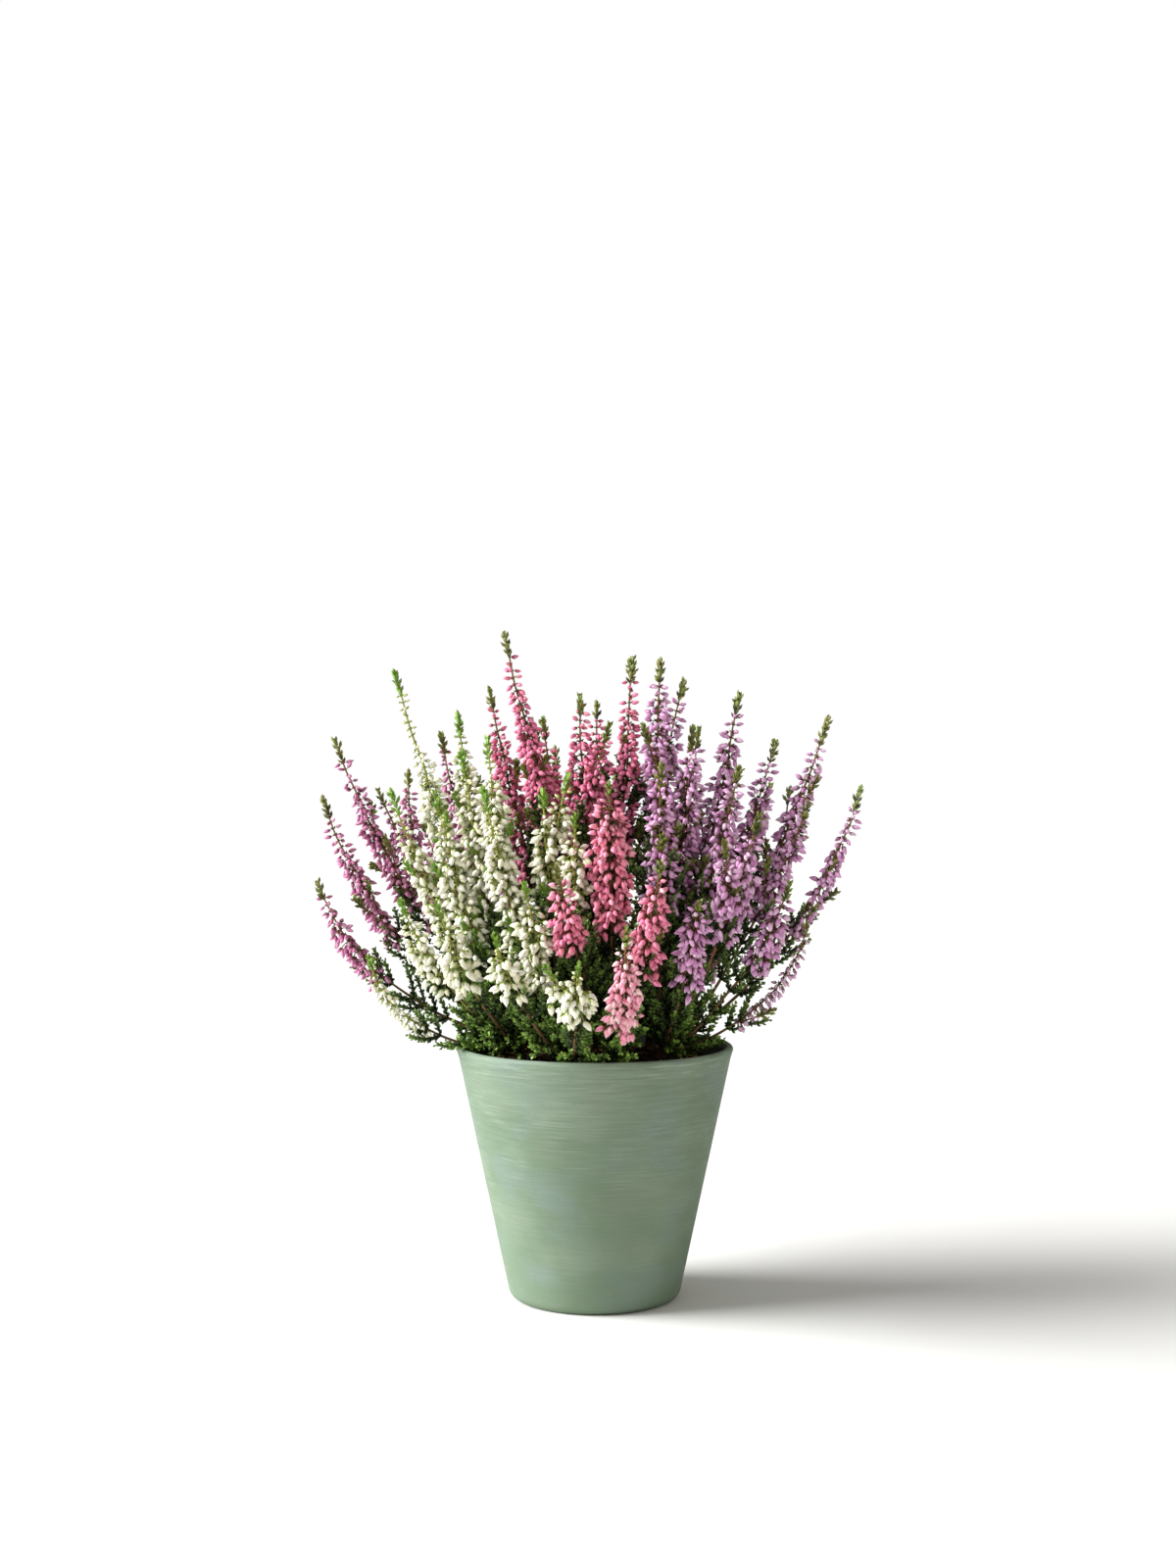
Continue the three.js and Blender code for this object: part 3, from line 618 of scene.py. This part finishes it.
# Crossed leaves that close up into a point over the last stretch of each curve
def leafyEnds(given, curves, draw):
    graph = curves.graph
    points, turn = curves.stepped(given.leafPitch)
    fromTip, tipLength = map(graph.read, ("fromTip", "tipLength"))
    share = fromTip / tipLength
    kept = points.drop((share > 1.06) + (fromTip < 1.5 * mm))
    plump = share.span(0, 0.4, 0.7, 1) * share.span(0.8, 1.06, 1, 0.75)
    size = given.tipLeaf * plump * tipLength.zone(4, 10, 0.62, 1)
    tone = given.leafTone + share.span(0, 1, 0.12, -0.12)
    tilt = share.span(0, 0.6, 0.2, 0.58)
    return leafPairs(kept, turn, given.leaf, size, 1.3, tilt, tone, draw), kept, turn


def bloomTree():
    graph, given = newTree(
        "bloomSpike", bloom, Object="bud leaf", Material="petals leaves twigs",
        Float="growFrom growOver topBud fullBud budWidth twigsTop twigsEach tone toneSpread youngTone "
              "leafTone leafyTip shootsFrom bloomLength bract")
    chance = graph.chance
    fromTip, tipLength, bare, level, ripe, reach = map(
        graph.read, "fromTip tipLength bare level ripe twigLength".split())
    factor = graph.add("GeometryNodeSplineParameter")
    path = given.geometry.into("MeshToCurve").store("tipLength", given.leafyTip)
    stem = tube(path, fromTip.zone(0, 80, given.stemTop, given.stemFoot), 6, "twig", 0.5)

    # Whorls of twigs
    levels, whorlTurn = path.stepped(given.whorlPitch)
    start = given.leafyTip + given.growFrom
    levels = levels.store("ripe", fromTip.span(start, start + given.growOver))
    levels = levels.drop((fromTip < given.leafyTip * 0.88) + bare)
    ragged = (given.bloomLength - fromTip).zone(0, 13, 1, 0) * ripe
    number = given.twigsTop + (given.twigsEach - given.twigsTop) * ripe ** 0.7
    number = graph.maths("ROUND", number * (1 - ragged * 0.5) + chance(-0.5, 0.5, 9))
    twins = levels.store("number", number).copies(number)
    angle = level * 2.4 + twins.out("Duplicate Index") * wholeTurn / graph.read("number")
    outward = whorlTurn.turned(angle + chance(-0.4, 0.4, 1))
    length = given.twigTop + (given.twigFoot - given.twigTop) * ripe ** 1.3
    length = length * chance(0.6, 1.2, 2) * (1 + ragged * 0.45)
    twigs = twins.arcs(outward, length, 3, (0.5, 0, 0.34), (1, 0, 0.42))
    fall = factor ** 1.7 * reach * ripe * given.sag
    twigs = twigs.into("SetPosition", {"Offset": graph.xyz(z=0 - fall)})
    twigTubes = tube(twigs, 0.24 * mm, 4, "twig", 0.5)

    # Buds along each twig
    count = graph.maths("MAXIMUM", graph.maths("ROUND", reach / given.budPitch) + 1, 2)
    budPoints = twigs.store("alongTwig", factor).into("CurveToPoints", {"Count": count}, mode="COUNT")
    crowd = reach > 1.6 * mm
    pairs = budPoints.drop(graph.read("alongTwig") < 0.2).copies(crowd * (given.budsEach - 1) + 1)
    angle = pairs.out("Duplicate Index") * 2.2 + chance(0, wholeTurn, 4)
    radial = graph.add("FunctionNodeRotateVector", {
        "Vector": graph.xyz(graph.maths("COSINE", angle), graph.maths("SINE", angle)),
        "Rotation": budPoints.out("Rotation")})
    down = given.droop * ripe * chance(0.5, 1.2, 5)
    heading = graph.vectors("MULTIPLY", budPoints.out("Tangent"), (0.7, 0.7, 0.7))
    heading = graph.vectors("ADD", heading, graph.vectors("MULTIPLY", radial, crowd * 0.65 + 0.3))
    heading = graph.vectors("ADD", heading, graph.xyz(z=0 - down))
    facing = graph.add("FunctionNodeAlignRotationToVector", {"Vector": heading}, axis="Z")
    size = ripe.span(0, 0.75, given.topBud, given.fullBud) * chance(0.82, 1.12, 7)
    wide = size * given.budWidth
    tone = given.tone + given.youngTone * ripe.span(0, 0.5, 1, 0)
    toned = pairs.store("tone", tone + given.toneSpread * chance(-1, 1, 8))
    facing = facing.turned(chance(0, wholeTurn, 6))
    buds = toned.bearing(given.bud.shape(), facing, graph.xyz(wide, wide, size))

    # Leafy shoots between the flowers
    low, turn = path.stepped(given.shootPitch)
    sparse = chance(0, 1, 11) > fromTip.zone(30, 75, 0.45, 0.9)
    low = low.drop((fromTip < given.shootsFrom) + sparse + bare)
    about = turn.turned(level * 2.1 + chance(-0.8, 0.8, 12))
    shoots = low.arcs(about, given.shootLength * chance(0.6, 1.15, 13), 6, (0.26, 0, 0.32), (0.4, 0, 0.92))
    shoots = shoots.store("fromTip", (1 - factor) * reach)
    shoots = shoots.store("tipLength", reach.zone(12, 24, 7 * mm, 10 * mm))
    shootTubes = tube(shoots, factor.span(0, 1, 0.45 * mm, 0.35 * mm), 4, "twig", 0.5)

    # Leafy tips, with small tufts at their sides
    tips, points, turn = leafyEnds(given, graph.join(path, shoots), 30)
    sprouting = points.drop((fromTip / tipLength < 0.4) + (chance(0, 1, 14) > 0.36))
    about = turn.turned(level * 1.9 + chance(-0.5, 0.5, 15))
    long = given.tuft * chance(0.75, 1.1, 16) * tipLength.zone(4, 9, 0.7, 1)
    tufts = sprouting.arcs(about, long, 3, (0.24, 0, 0.3), (0.31, 0, 0.9))
    tufts = tufts.store("fromTip", (1 - factor) * reach).store("tipLength", reach * 1.2)
    tuftLeaves = leafyEnds(given, tufts, 40)[0]

    # Bracts, long lower down between the flowers, where their darker colour is partly their own and partly
    # painted shade
    size = ripe.span(0, 1, 1.7 * mm, given.bract)
    # partly painted shade: bracts darken further down the spike, between the flowers
    tone = given.leafTone - 0.05 - ripe * 0.58
    bracts = leafPairs(levels, whorlTurn, given.leaf, size, 0.9, 0.8, tone, 20, 3)
    return finishPlant(graph, given, stem, twigTubes, buds, bracts, shootTubes, tips, tuftLeaves)


# Leafy plants: branches with side shoots, which bear short cords of scale leaves
foliage = {
    "shootPitch": 6.2 * mm, "shootsEach": 3, "shootLeast": 5 * mm, "shootMost": 25 * mm,
    "cordPitch": 4.2 * mm, "cordsEach": 2, "cordLeast": 4 * mm, "cordMost": 10 * mm,
    "leafPitch": 1.4 * mm, "leafLength": 2.3 * mm, "branchFoot": 1.05 * mm, "branchTop": 0.5 * mm,
    "denseBelow": 195 * mm, "sparseAbove": 240 * mm, "leafTone": 0.45, "seed": 77,
}


def foliageTree():
    graph, given = newTree("leafyPlant", foliage, Object="scale", Material="petals leaves twigs")
    chance = graph.chance
    x, y, height, radius = graph.position()
    level, reach, alongTwig = map(graph.read, ("level", "twigLength", "alongTwig"))
    factor = graph.add("GeometryNodeSplineParameter")
    path = given.geometry.into("MeshToCurve")
    wood = tube(path, factor.span(0, 1, given.branchFoot, given.branchTop), 8, "twig", 0.2)

    # Shoots along the branches: most are short and plain, and the long ones bear cords. They stand close
    # together in the heart of the plant, and far apart where it leans out over the rim.
    thick = height.span(given.denseBelow, given.sparseAbove, 1, 0.5) * radius.zone(44, 66, 1, 0.85)
    deep = radius.zone(36, 22) * height.zone(185, 160)
    openSide = x.zone(30, 44) * height.zone(158, 142) * radius.zone(68, 60)
    thick = thick * (1 - deep * 0.45) * (1 - openSide * 0.55)
    levels, turn = path.store("alongStem", factor).stepped(given.shootPitch)
    levels = levels.drop((graph.read("alongStem") < 0.06) + (chance(0, 1, 0) > thick))
    twins = levels.copies(given.shootsEach)
    angle = level * 1.9 + twins.out("Duplicate Index") * wholeTurn / given.shootsEach
    outward = turn.turned(angle + chance(-0.7, 0.7, 1))
    pick, outside = chance(0, 1, 2), radius.zone(42, 58)
    length = given.shootLeast + (given.shootMost - given.shootLeast) * pick ** 1.8
    length = length * (1 - outside) + (pick * 8.5 * mm + 6.5 * mm) * outside
    shoots = twins.arcs(outward, length * (1 - openSide * 0.3), 6, (0.42, 0, 0.28), (0.66, 0, 0.78))
    rise = graph.xyz(z=factor ** 2 * reach * 0.18)
    shoots = clearOfPot(shoots.into("SetPosition", {"Offset": rise})).store("alongTwig", factor)
    shootTubes = tube(shoots, factor.span(0, 1, 0.42 * mm, 0.3 * mm), 4, "twig", 0.35)

    # Cords on the long shoots
    levels, turn = shoots.stepped(given.cordPitch)
    far = radius > x.zone(20, 40, 58 * mm, 44 * mm)
    pairs = levels.drop((alongTwig < 0.12) + (reach < 10.5 * mm) + far).copies(given.cordsEach)
    angle = level * 2.4 + pairs.out("Duplicate Index") * wholeTurn / given.cordsEach
    length = chance(0, 1, 5).span(0, 1, given.cordLeast, given.cordMost)
    length = length * alongTwig.span(0.1, 1, 1, 0.6)
    cords = pairs.arcs(turn.turned(angle + chance(-0.5, 0.5, 4)), length, 3, (0.36, 0, 0.3), (0.5, 0, 0.86))
    cords = clearOfPot(cords).store("alongTwig", factor)

    # Scale leaves on both, light at young ends. Leaves in the plant's heart are darkened with painted shade,
    # and low outer leaves are paled with painted light
    bearing = graph.join(shoots, cords)
    # painted shade: the cores of the cords are a dark green that fills the gaps between their leaves
    shadedCordCores = tube(bearing, 0.7 * mm, 4, "leaf", given.leafTone - 0.3)
    levels, turn = bearing.stepped(given.leafPitch)
    size = given.leafLength * alongTwig.span(0.7, 1, 1, 0.85) * radius.zone(44, 62, 1, 1.2)
    # painted light: leaves low on the outer side are made paler, where the flowers above shade them
    paintedLight = height.zone(160, 124) * radius.zone(30, 48) * radius.zone(84, 66)
    # painted shade: leaves near the plant's axis are made darker
    tone = given.leafTone + alongTwig.span(0.2, 1) * 0.5 - 0.3 + radius.zone(18, 60, -0.26, 0)
    tilt = alongTwig.span(0.7, 1, 0.46, 0.36)
    leaves = leafPairs(levels, turn, given.scale, size, 1.05, tilt, tone + paintedLight * 0.24, 30)
    return finishPlant(graph, given, wood, shootTubes, shadedCordCores, leaves)


# Keeps a shoot above the soil, and above the rim where it crosses it. Millimetres.
room = {"soilMiddle": 114.5, "soilEdge": 110, "rimInside": (55, 59), "rimOutside": (66.5, 69),
        "over": 2.2, "sink": 6}


def clearOfPot(geometry):
    graph = geometry.graph
    x, y, z, radius = graph.position()
    ground = radius.zone(0, pot["topRadius"], room["soilMiddle"] * mm, room["soilEdge"] * mm)
    rim = radius.zone(*room["rimInside"]) * radius.zone(*room["rimOutside"], 1, 0)
    least = ground + rim * ((pot["height"] + room["over"]) * mm - ground)
    least = least - radius.zone(*room["rimOutside"]) * room["sink"] * mm
    return geometry.into("SetPosition", {"Position": graph.xyz(x, y, graph.maths("MAXIMUM", z, least))})


# Where each cutting stands, and its sprays in millimetres: the tip, how far down the flowers reach, and
# what is unlike usual. That is how far out and how low the stem swings (arch, lift), how wide the column is
# (full), how pale (tone), how large its buds are (small) and how soon full-grown (early), where buds and
# shoots start (budsFrom, shootsFrom), how much of its foot is bare of flowers (foot), how far leafy shoots
# reach up into them (leafyUp), and the tip of a second spike that forks off where they begin (side).
cuttings = {}
cuttings["mauve"] = "mauve", (-27, 17), 0, [
    (-131, 0, 195, 56, dict(arch=0.82, lift=0.3, full=0.7)),
    (-130, 15, 234, 78, dict(arch=0.74, lift=0.34, full=0.75)),
    (-126, 28, 262, 88, dict(arch=0.66, full=0.75)),
    (-105, 27, 238, 72, dict(full=0.9, side=(-92, 52, 246))),
    (-76, 48, 265, 78, dict(full=0.8)),
    (-88, 84, 222, 74, dict(side=(-112, 58, 200))),
    (-52, 96, 236, 80, {}),
    (-60, 118, 190, 56, dict(arch=0.75, lift=0.35)),
]
cuttings["white_left"] = "white", (-31, -9), 0, [
    (-95, 5, 294, 104, dict(arch=0.5, full=0.8, budsFrom=22, shootsFrom=74)),
    (-95, -12, 238, 84, dict(foot=6, full=0.95)),
    (-88, -42, 189, 62, dict(foot=13, arch=0.72, full=1.05)),
    (-103, -25, 162, 46, dict(arch=0.95, lift=0.24, full=0.42, small=0.68)),
    (-70, -68, 190, 64, dict(foot=17, arch=0.7, full=1.15)),
    (-73, -30, 237, 86, dict(foot=5, full=1.1)),
    (-62, -4, 256, 92, dict(full=1.1, side=(-66, 22, 274))),
]
cuttings["white_front"] = "white", (-11, -29), 6, [
    (-51, -36, 239, 84, dict(full=1.1, side=(-50, -12, 262))),
    (-44, -88, 177, 46, dict(foot=12, arch=0.72, full=1.1)),
    (-31, -72, 198, 58, dict(foot=8, full=1.15)),
    (-24, -34, 239, 68, dict(side=(-12, -27, 246))),
    (-9, -50, 228, 56, dict(full=0.9)),
    (-7, -108, 166, 36, dict(foot=6, arch=0.78, lift=0.3, full=1.2, side=(-22, -100, 164))),
]
cuttings["rose_back"] = "rose", (0, 10), 20, [
    (-51, 27, 287, 96, dict(leafyUp=8, full=1.05)),
    (-43, 2, 312, 112, dict(leafyUp=10, arch=0.35, full=0.9)),
    (-25, 30, 272, 78, dict(leafyUp=10)),
    (-7, 2, 283, 92, dict(full=1.15, side=(7, -12, 269), early=0.7)),
    (1, 34, 280, 88, dict(full=1.1, early=0.65)),
    (18, 10, 301, 100, dict(leafyUp=34)),
    (-20, 76, 258, 86, dict(side=(-32, 62, 272))),
    (12, 88, 246, 82, {}),
    (-16, 112, 206, 62, dict(arch=0.72, lift=0.36)),
]
cuttings["rose_front"] = "rose", (9, -19), 0, [
    (6, -58, 242, 78, dict(foot=6, full=1.75, tone=0.62, early=0.45)),
    (-17, -82, 206, 50, dict(foot=6, full=1.15, tone=0.54)),
    (28, -90, 208, 56, dict(full=1.1, tone=0.6)),
    (13, -108, 181, 60, dict(arch=0.78, lift=0.35, full=1.1, tone=0.84)),
]
cuttings["lilac_front"] = "lilac", (30, -11), 0, [
    (45, -84, 191, 46, dict(full=0.9, tone=0.5)),
    (88, -42, 197, 56, dict(foot=9, arch=0.72)),
    (98, -20, 177, 58, dict(arch=0.9, lift=0.34, full=0.45, tone=0.8, small=0.62)),
    (74, -46, 228, 76, dict(foot=16, full=1.1, side=(57, -62, 216), tone=0.6)),
    (30, -33, 250, 82, dict(foot=14, leafyUp=30, full=1.3)),
    (101, -2, 232, 68, dict(foot=6, full=0.55, small=0.95)),
    (125, 0, 239, 96, dict(foot=20, arch=0.8, full=0.5, small=0.95)),
]
cuttings["lilac_back"] = "lilac", (24, 17), 18, [
    (31, 5, 299, 98, dict(full=1.15, side=(43, 20, 290))),
    (46, -8, 268, 88, dict(full=1.15, side=(22, -5, 269))),
    (69, 12, 284, 94, dict(full=0.95)),
    (67, -14, 249, 82, dict(full=1.15)),
    (87, 16, 261, 84, dict(full=1.05)),
    (112, 16, 272, 98, dict(foot=8, arch=0.66, full=0.7, small=0.96)),
    (88, 58, 240, 82, dict(side=(104, 44, 214))),
    (52, 60, 268, 88, {}),
    (42, 96, 226, 76, {}),
    (72, 94, 192, 58, dict(arch=0.74, lift=0.36)),
]
usual = {"arch": 0.6, "lift": 0.42, "full": 1, "small": 1, "early": 1, "foot": 0, "shootsFrom": 46}
crown = {"rise": 1.8, "spread": 2.4, "sway": 1.6, "forkRoom": 5.5, "forkRise": 0.45,
         "branchStep": 2.0, "spikeStep": 1.5}


def lengthsAlong(points):
    lengths = [0.0]
    for a, b in zip(points, points[1:]):
        lengths.append(lengths[-1] + (b - a).length)
    return lengths


# A quadratic curve as a fine row of points, with the length up to each
def finePath(start, control, end, steps=160):
    shares = [k / steps for k in range(steps + 1)]
    points = [start.lerp(control, t).lerp(control.lerp(end, t), t) for t in shares]
    return points, lengthsAlong(points)


def pointAt(path, distance):
    points, lengths = path
    for k in range(1, len(points)):
        if lengths[k] >= distance:
            share = (distance - lengths[k - 1]) / max(lengths[k] - lengths[k - 1], 1e-9)
            return points[k - 1].lerp(points[k], share)
    return points[-1].copy()


def stretchOf(path, start, end, step):
    count = max(2, ceil((end - start) / step))
    return [pointAt(path, start + (end - start) * k / count) for k in range(count + 1)]


# Stems aren't ruler-smooth: a slow sway that fades out at both ends
def swayed(points, seed):
    result = []
    for k, point in enumerate(points):
        fade = crown["sway"] * sin(pi * (k / (len(points) - 1)))
        drift = noise.noise_vector(point * 0.045 + Vector((seed * 3.7, 0, 0)))
        result.append(point + fade * Vector((drift.x, drift.y, 0.3 * drift.z)))
    return result


def pathMesh(chains, fields):
    edges, start = [], 0
    for chain in chains:
        edges += [(start + k, start + k + 1) for k in range(len(chain) - 1)]
        start += len(chain)
    mesh = newMesh("paths", [point * mm for chain in chains for point in chain], [], edges)
    for field, rows in fields.items():
        attribute = mesh.attributes.new(field, "FLOAT", "POINT")
        attribute.data.foreach_set("value", [value for row in rows for value in row])
    return mesh


def planSprays():
    plans, counts = [], {}
    for cutting, (petals, place, leafyUp, rows) in cuttings.items():
        at = Vector((*place, soilTop(*place) + crown["rise"]))
        for *tip, bloomLength, more in rows:
            spray = {**usual, "leafyUp": leafyUp, "bloom": bloomLength, **more}
            tip, counts[petals] = Vector(tip), counts.get(petals, 0) + 1
            foot = at + Vector((tip.x - at.x, tip.y - at.y, 0)).normalized() * crown["spread"]
            control = foot.lerp(tip, spray["arch"])
            control.z = foot.z + spray["lift"] * (tip.z - foot.z)
            path = finePath(foot, control, tip)
            whole = path[1][-1]
            leafy = max(spray["foot"], spray["leafyUp"]) + 0.5
            branch = stretchOf(path, 0, whole - bloomLength + leafy, crown["branchStep"])
            spikes = [stretchOf(path, whole - bloomLength, whole, crown["spikeStep"])]
            if "side" in spray:
                start, end = spikes[0][0], Vector(spray["side"])
                along = (spikes[0][1] - start).normalized()
                fork = finePath(start, start + along * crown["forkRise"] * (end - start).length, end)
                spikes.append(stretchOf(fork, 0, fork[1][-1], crown["spikeStep"]))
            plans.append(SimpleNamespace(**spray, cutting=cutting, petals=petals, count=str(counts[petals]),
                                         branch=branch, spikes=spikes, number=len(plans)))
    return plans


# Looks of the flowers, which read their colour from the sheet: the tone goes across it, and the place along
# the part goes up it. Buds are small at growFrom and full-grown after growOver, millimetres below the tip.
looks = {
    "stops": ([(0, (190, 198, 112)), (0.3, (230, 228, 190)), (0.7, (247, 244, 222)), (1, (253, 251, 238))],
              [(0, (204, 90, 132)), (0.3, (234, 130, 170)), (0.6, (246, 136, 164)), (0.85, (249, 172, 192)),
               (1, (253, 226, 220))],
              [(0, (146, 84, 134)), (0.35, (206, 140, 190)), (0.65, (228, 176, 216)), (1, (244, 216, 234))],
              [(0, (138, 70, 108)), (0.4, (196, 116, 160)), (0.7, (218, 150, 188)), (1, (238, 192, 214))]),
    # the dark foot of each bud is partly its own deeper colour and partly painted shade between the buds
    "foot": ((190, 198, 112), (154, 40, 74), (134, 76, 110), (142, 70, 94)),
    "point": ((253, 250, 236), (254, 204, 218), (244, 214, 232), (242, 194, 214)),
    "stem": ((158, 162, 78), (132, 92, 60), (136, 98, 66), (134, 92, 64)),
    "calyx": ((128, 154, 62), (98, 58, 38), (92, 62, 42), (98, 60, 44)),
    "tone": (0.7, 0.36, 0.55, 0.5), "toneSpread": (0.3, 0.2, 0.28, 0.24),
    "youngTone": (-0.5, 0.2, 0.08, 0.08), "leafTone": (0.82, 0.42, 0.38, 0.38),
    "growFrom": (4, 1, 0, 1), "growOver": (22, 40, 28, 36), "budWidth": (1.05, 1.02, 0.98, 0.94),
    "topBud": (0.54, 0.82, 0.9, 0.78), "fullBud": (1.12, 1.04, 1.07, 0.96),
    "twigsTop": (2.3, 1.6, 2.8, 1.9), "twigsEach": (4.0, 5.6, 4.6, 4.6),
}
flowers = {petals: {name: row[column] for name, row in looks.items()}
           for column, petals in enumerate(("white", "rose", "lilac", "mauve"))}
greens = {
    "tip": ([(0, (24, 30, 10)), (0.2, (72, 78, 32)), (0.35, (124, 122, 62)), (0.6, (116, 134, 52)),
             (0.85, (98, 146, 42)), (1, (138, 178, 72))], (0.5, 1, 0.5, (146, 162, 84))),
    "foliage": ([(0, (9, 13, 4)), (0.3, (37, 54, 18)), (0.6, (86, 117, 42)), (0.8, (124, 159, 66)),
                 (1, (168, 200, 102))], (0.5, 1, 0.5, (136, 168, 76))),
}
bark = (112, 86, 56)

# The band of each finish, how close and how strong its streaks are, its roughness and its shine
finishes = {"Petals": ("petal", 150, 0.14, 0.5, 0.3), "Leaves": ("leaf", 120, 0.2, 0.55, 0.35),
            "Twigs": ("twig", 60, 0.3, 0.7, 0.25)}


# An edge is a stretch along the part where another colour comes in, its strength and that colour
def sheetMaterial(name, finish, stops, *edges):
    band, streaks, depth, roughness, specular = finishes[finish]
    graph = newMaterial(name + finish)
    place = graph.add("ShaderNodeUVMap", uv_map="OFBake")
    tone, up = place.parts()[:2]
    low, high = bands[band]
    colour = graph.add("ShaderNodeValToRGB", {"Fac": tone}, stops=stops)
    for start, end, strength, shade in edges:
        colour = graph.mix(((up - low) / (high - low)).span(start, end) * strength, colour, shade)
    lines = graph.vectors("MULTIPLY", place, (streaks, 9, 1)).blotches()
    lines = lines.span(0.3, 0.7, 1 - depth, 1 + depth * 0.5)
    return surface(graph, graph.mix(1, colour, lines, "MULTIPLY"), roughness, specular)


# Calyxes lie beyond the band of the twigs
def twigMaterial(name, stem, calyx):
    return sheetMaterial(name, "Twigs", [(0, stem), (1, stem)], (1.1, 1.3, 1, calyx))


def growSpikes(plans):
    given = {"bud": template("bud", *budShape()), "leaf": leafTemplate("tipLeaf"),
             "leaves": sheetMaterial("tip", "Leaves", *greens["tip"])}
    coats = {}
    for name, look in flowers.items():
        # buds darken towards their foot, partly their own colour and partly painted shade between them, and
        # are paler at the point
        edges = (0.34, 0.0, 0.62, look["foot"]), (0.62, 1.0, 0.45, look["point"])
        coats[name] = {"petals": sheetMaterial(name, "Petals", look["stops"], *edges),
                       "twigs": twigMaterial(name, look["stem"], look["calyx"])}
    tree = bloomTree()
    for plan in plans:
        petals, full, small, look = plan.petals, plan.full, plan.small, flowers[plan.petals]
        spikes = [swayed(plan.spikes[0], plan.number), *plan.spikes[1:]]
        fromTip, bare = [], []
        for fork, points in enumerate(spikes):
            lengths = lengthsAlong(points[::-1])[::-1]
            fromTip.append([length * mm for length in lengths])
            bare.append([float(length > lengths[0] - plan.foot or fork > 0 and
                               min((p - q).length for q in spikes[0]) < crown["forkRoom"])
                         for p, length in zip(points, lengths)])
        mesh = pathMesh(spikes, {"fromTip": fromTip, "bare": bare})
        slow = min(max((plan.bloom - 30) / 60, 0.18), 1.3) * plan.early  # short sprays are in full flower
        piece = grown(petals + "Spike" + plan.count, mesh, tree, {
            **bloom, **look, **given, **coats[petals], "tone": getattr(plan, "tone", look["tone"]),
            "twigFoot": bloom["twigFoot"] * full, "growOver": look["growOver"] * slow * mm,
            "growFrom": getattr(plan, "budsFrom", look["growFrom"] * slow) * mm,
            "topBud": look["topBud"] * small, "fullBud": look["fullBud"] * small,
            "leafyTip": (random.uniform(4.5, 6.5) + 7 * min(slow, 1)) * mm,
            "shootsFrom": plan.shootsFrom * mm, "bloomLength": plan.bloom * mm,
            "bract": (1.6 + 2.4 * max(full - 0.3, 0)) * mm, "seed": bloom["seed"] + 50 * plan.number})
        seat(piece, petals + "_flowers", petals + "_spike_" + plan.count)
    print("spikes made")


def growFoliage(plans):
    leaves = sheetMaterial("foliage", "Leaves", *greens["foliage"])
    given = {"petals": leaves, "leaves": leaves, "twigs": twigMaterial("bark", bark, bark),
             "scale": leafTemplate("scaleLeaf")}
    tree = foliageTree()
    for number, cutting in enumerate(cuttings):
        branches = [swayed(plan.branch, plan.number) for plan in plans if plan.cutting == cutting]
        name = cutting[0] + cutting.title().replace("_", "")[1:] + "Foliage"
        piece = grown(name, pathMesh(branches, {}), tree, {
            **foliage, **given, "seed": foliage["seed"] + 100 * number})
        seat(piece, "foliage", cutting + "_plant")
    print("foliage made")


buildStudio()
buildPot()
buildSoil()
sprays = planSprays()
growSpikes(sprays)
growFoliage(sprays)

for made in (cadBox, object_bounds()):
    print("box", [[round(value, 4) for value in corner] for corner in made])
boxes = {"cad": cadBox, "visual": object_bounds()}
{name: [list(corner) for corner in made] for name, made in boxes.items()}
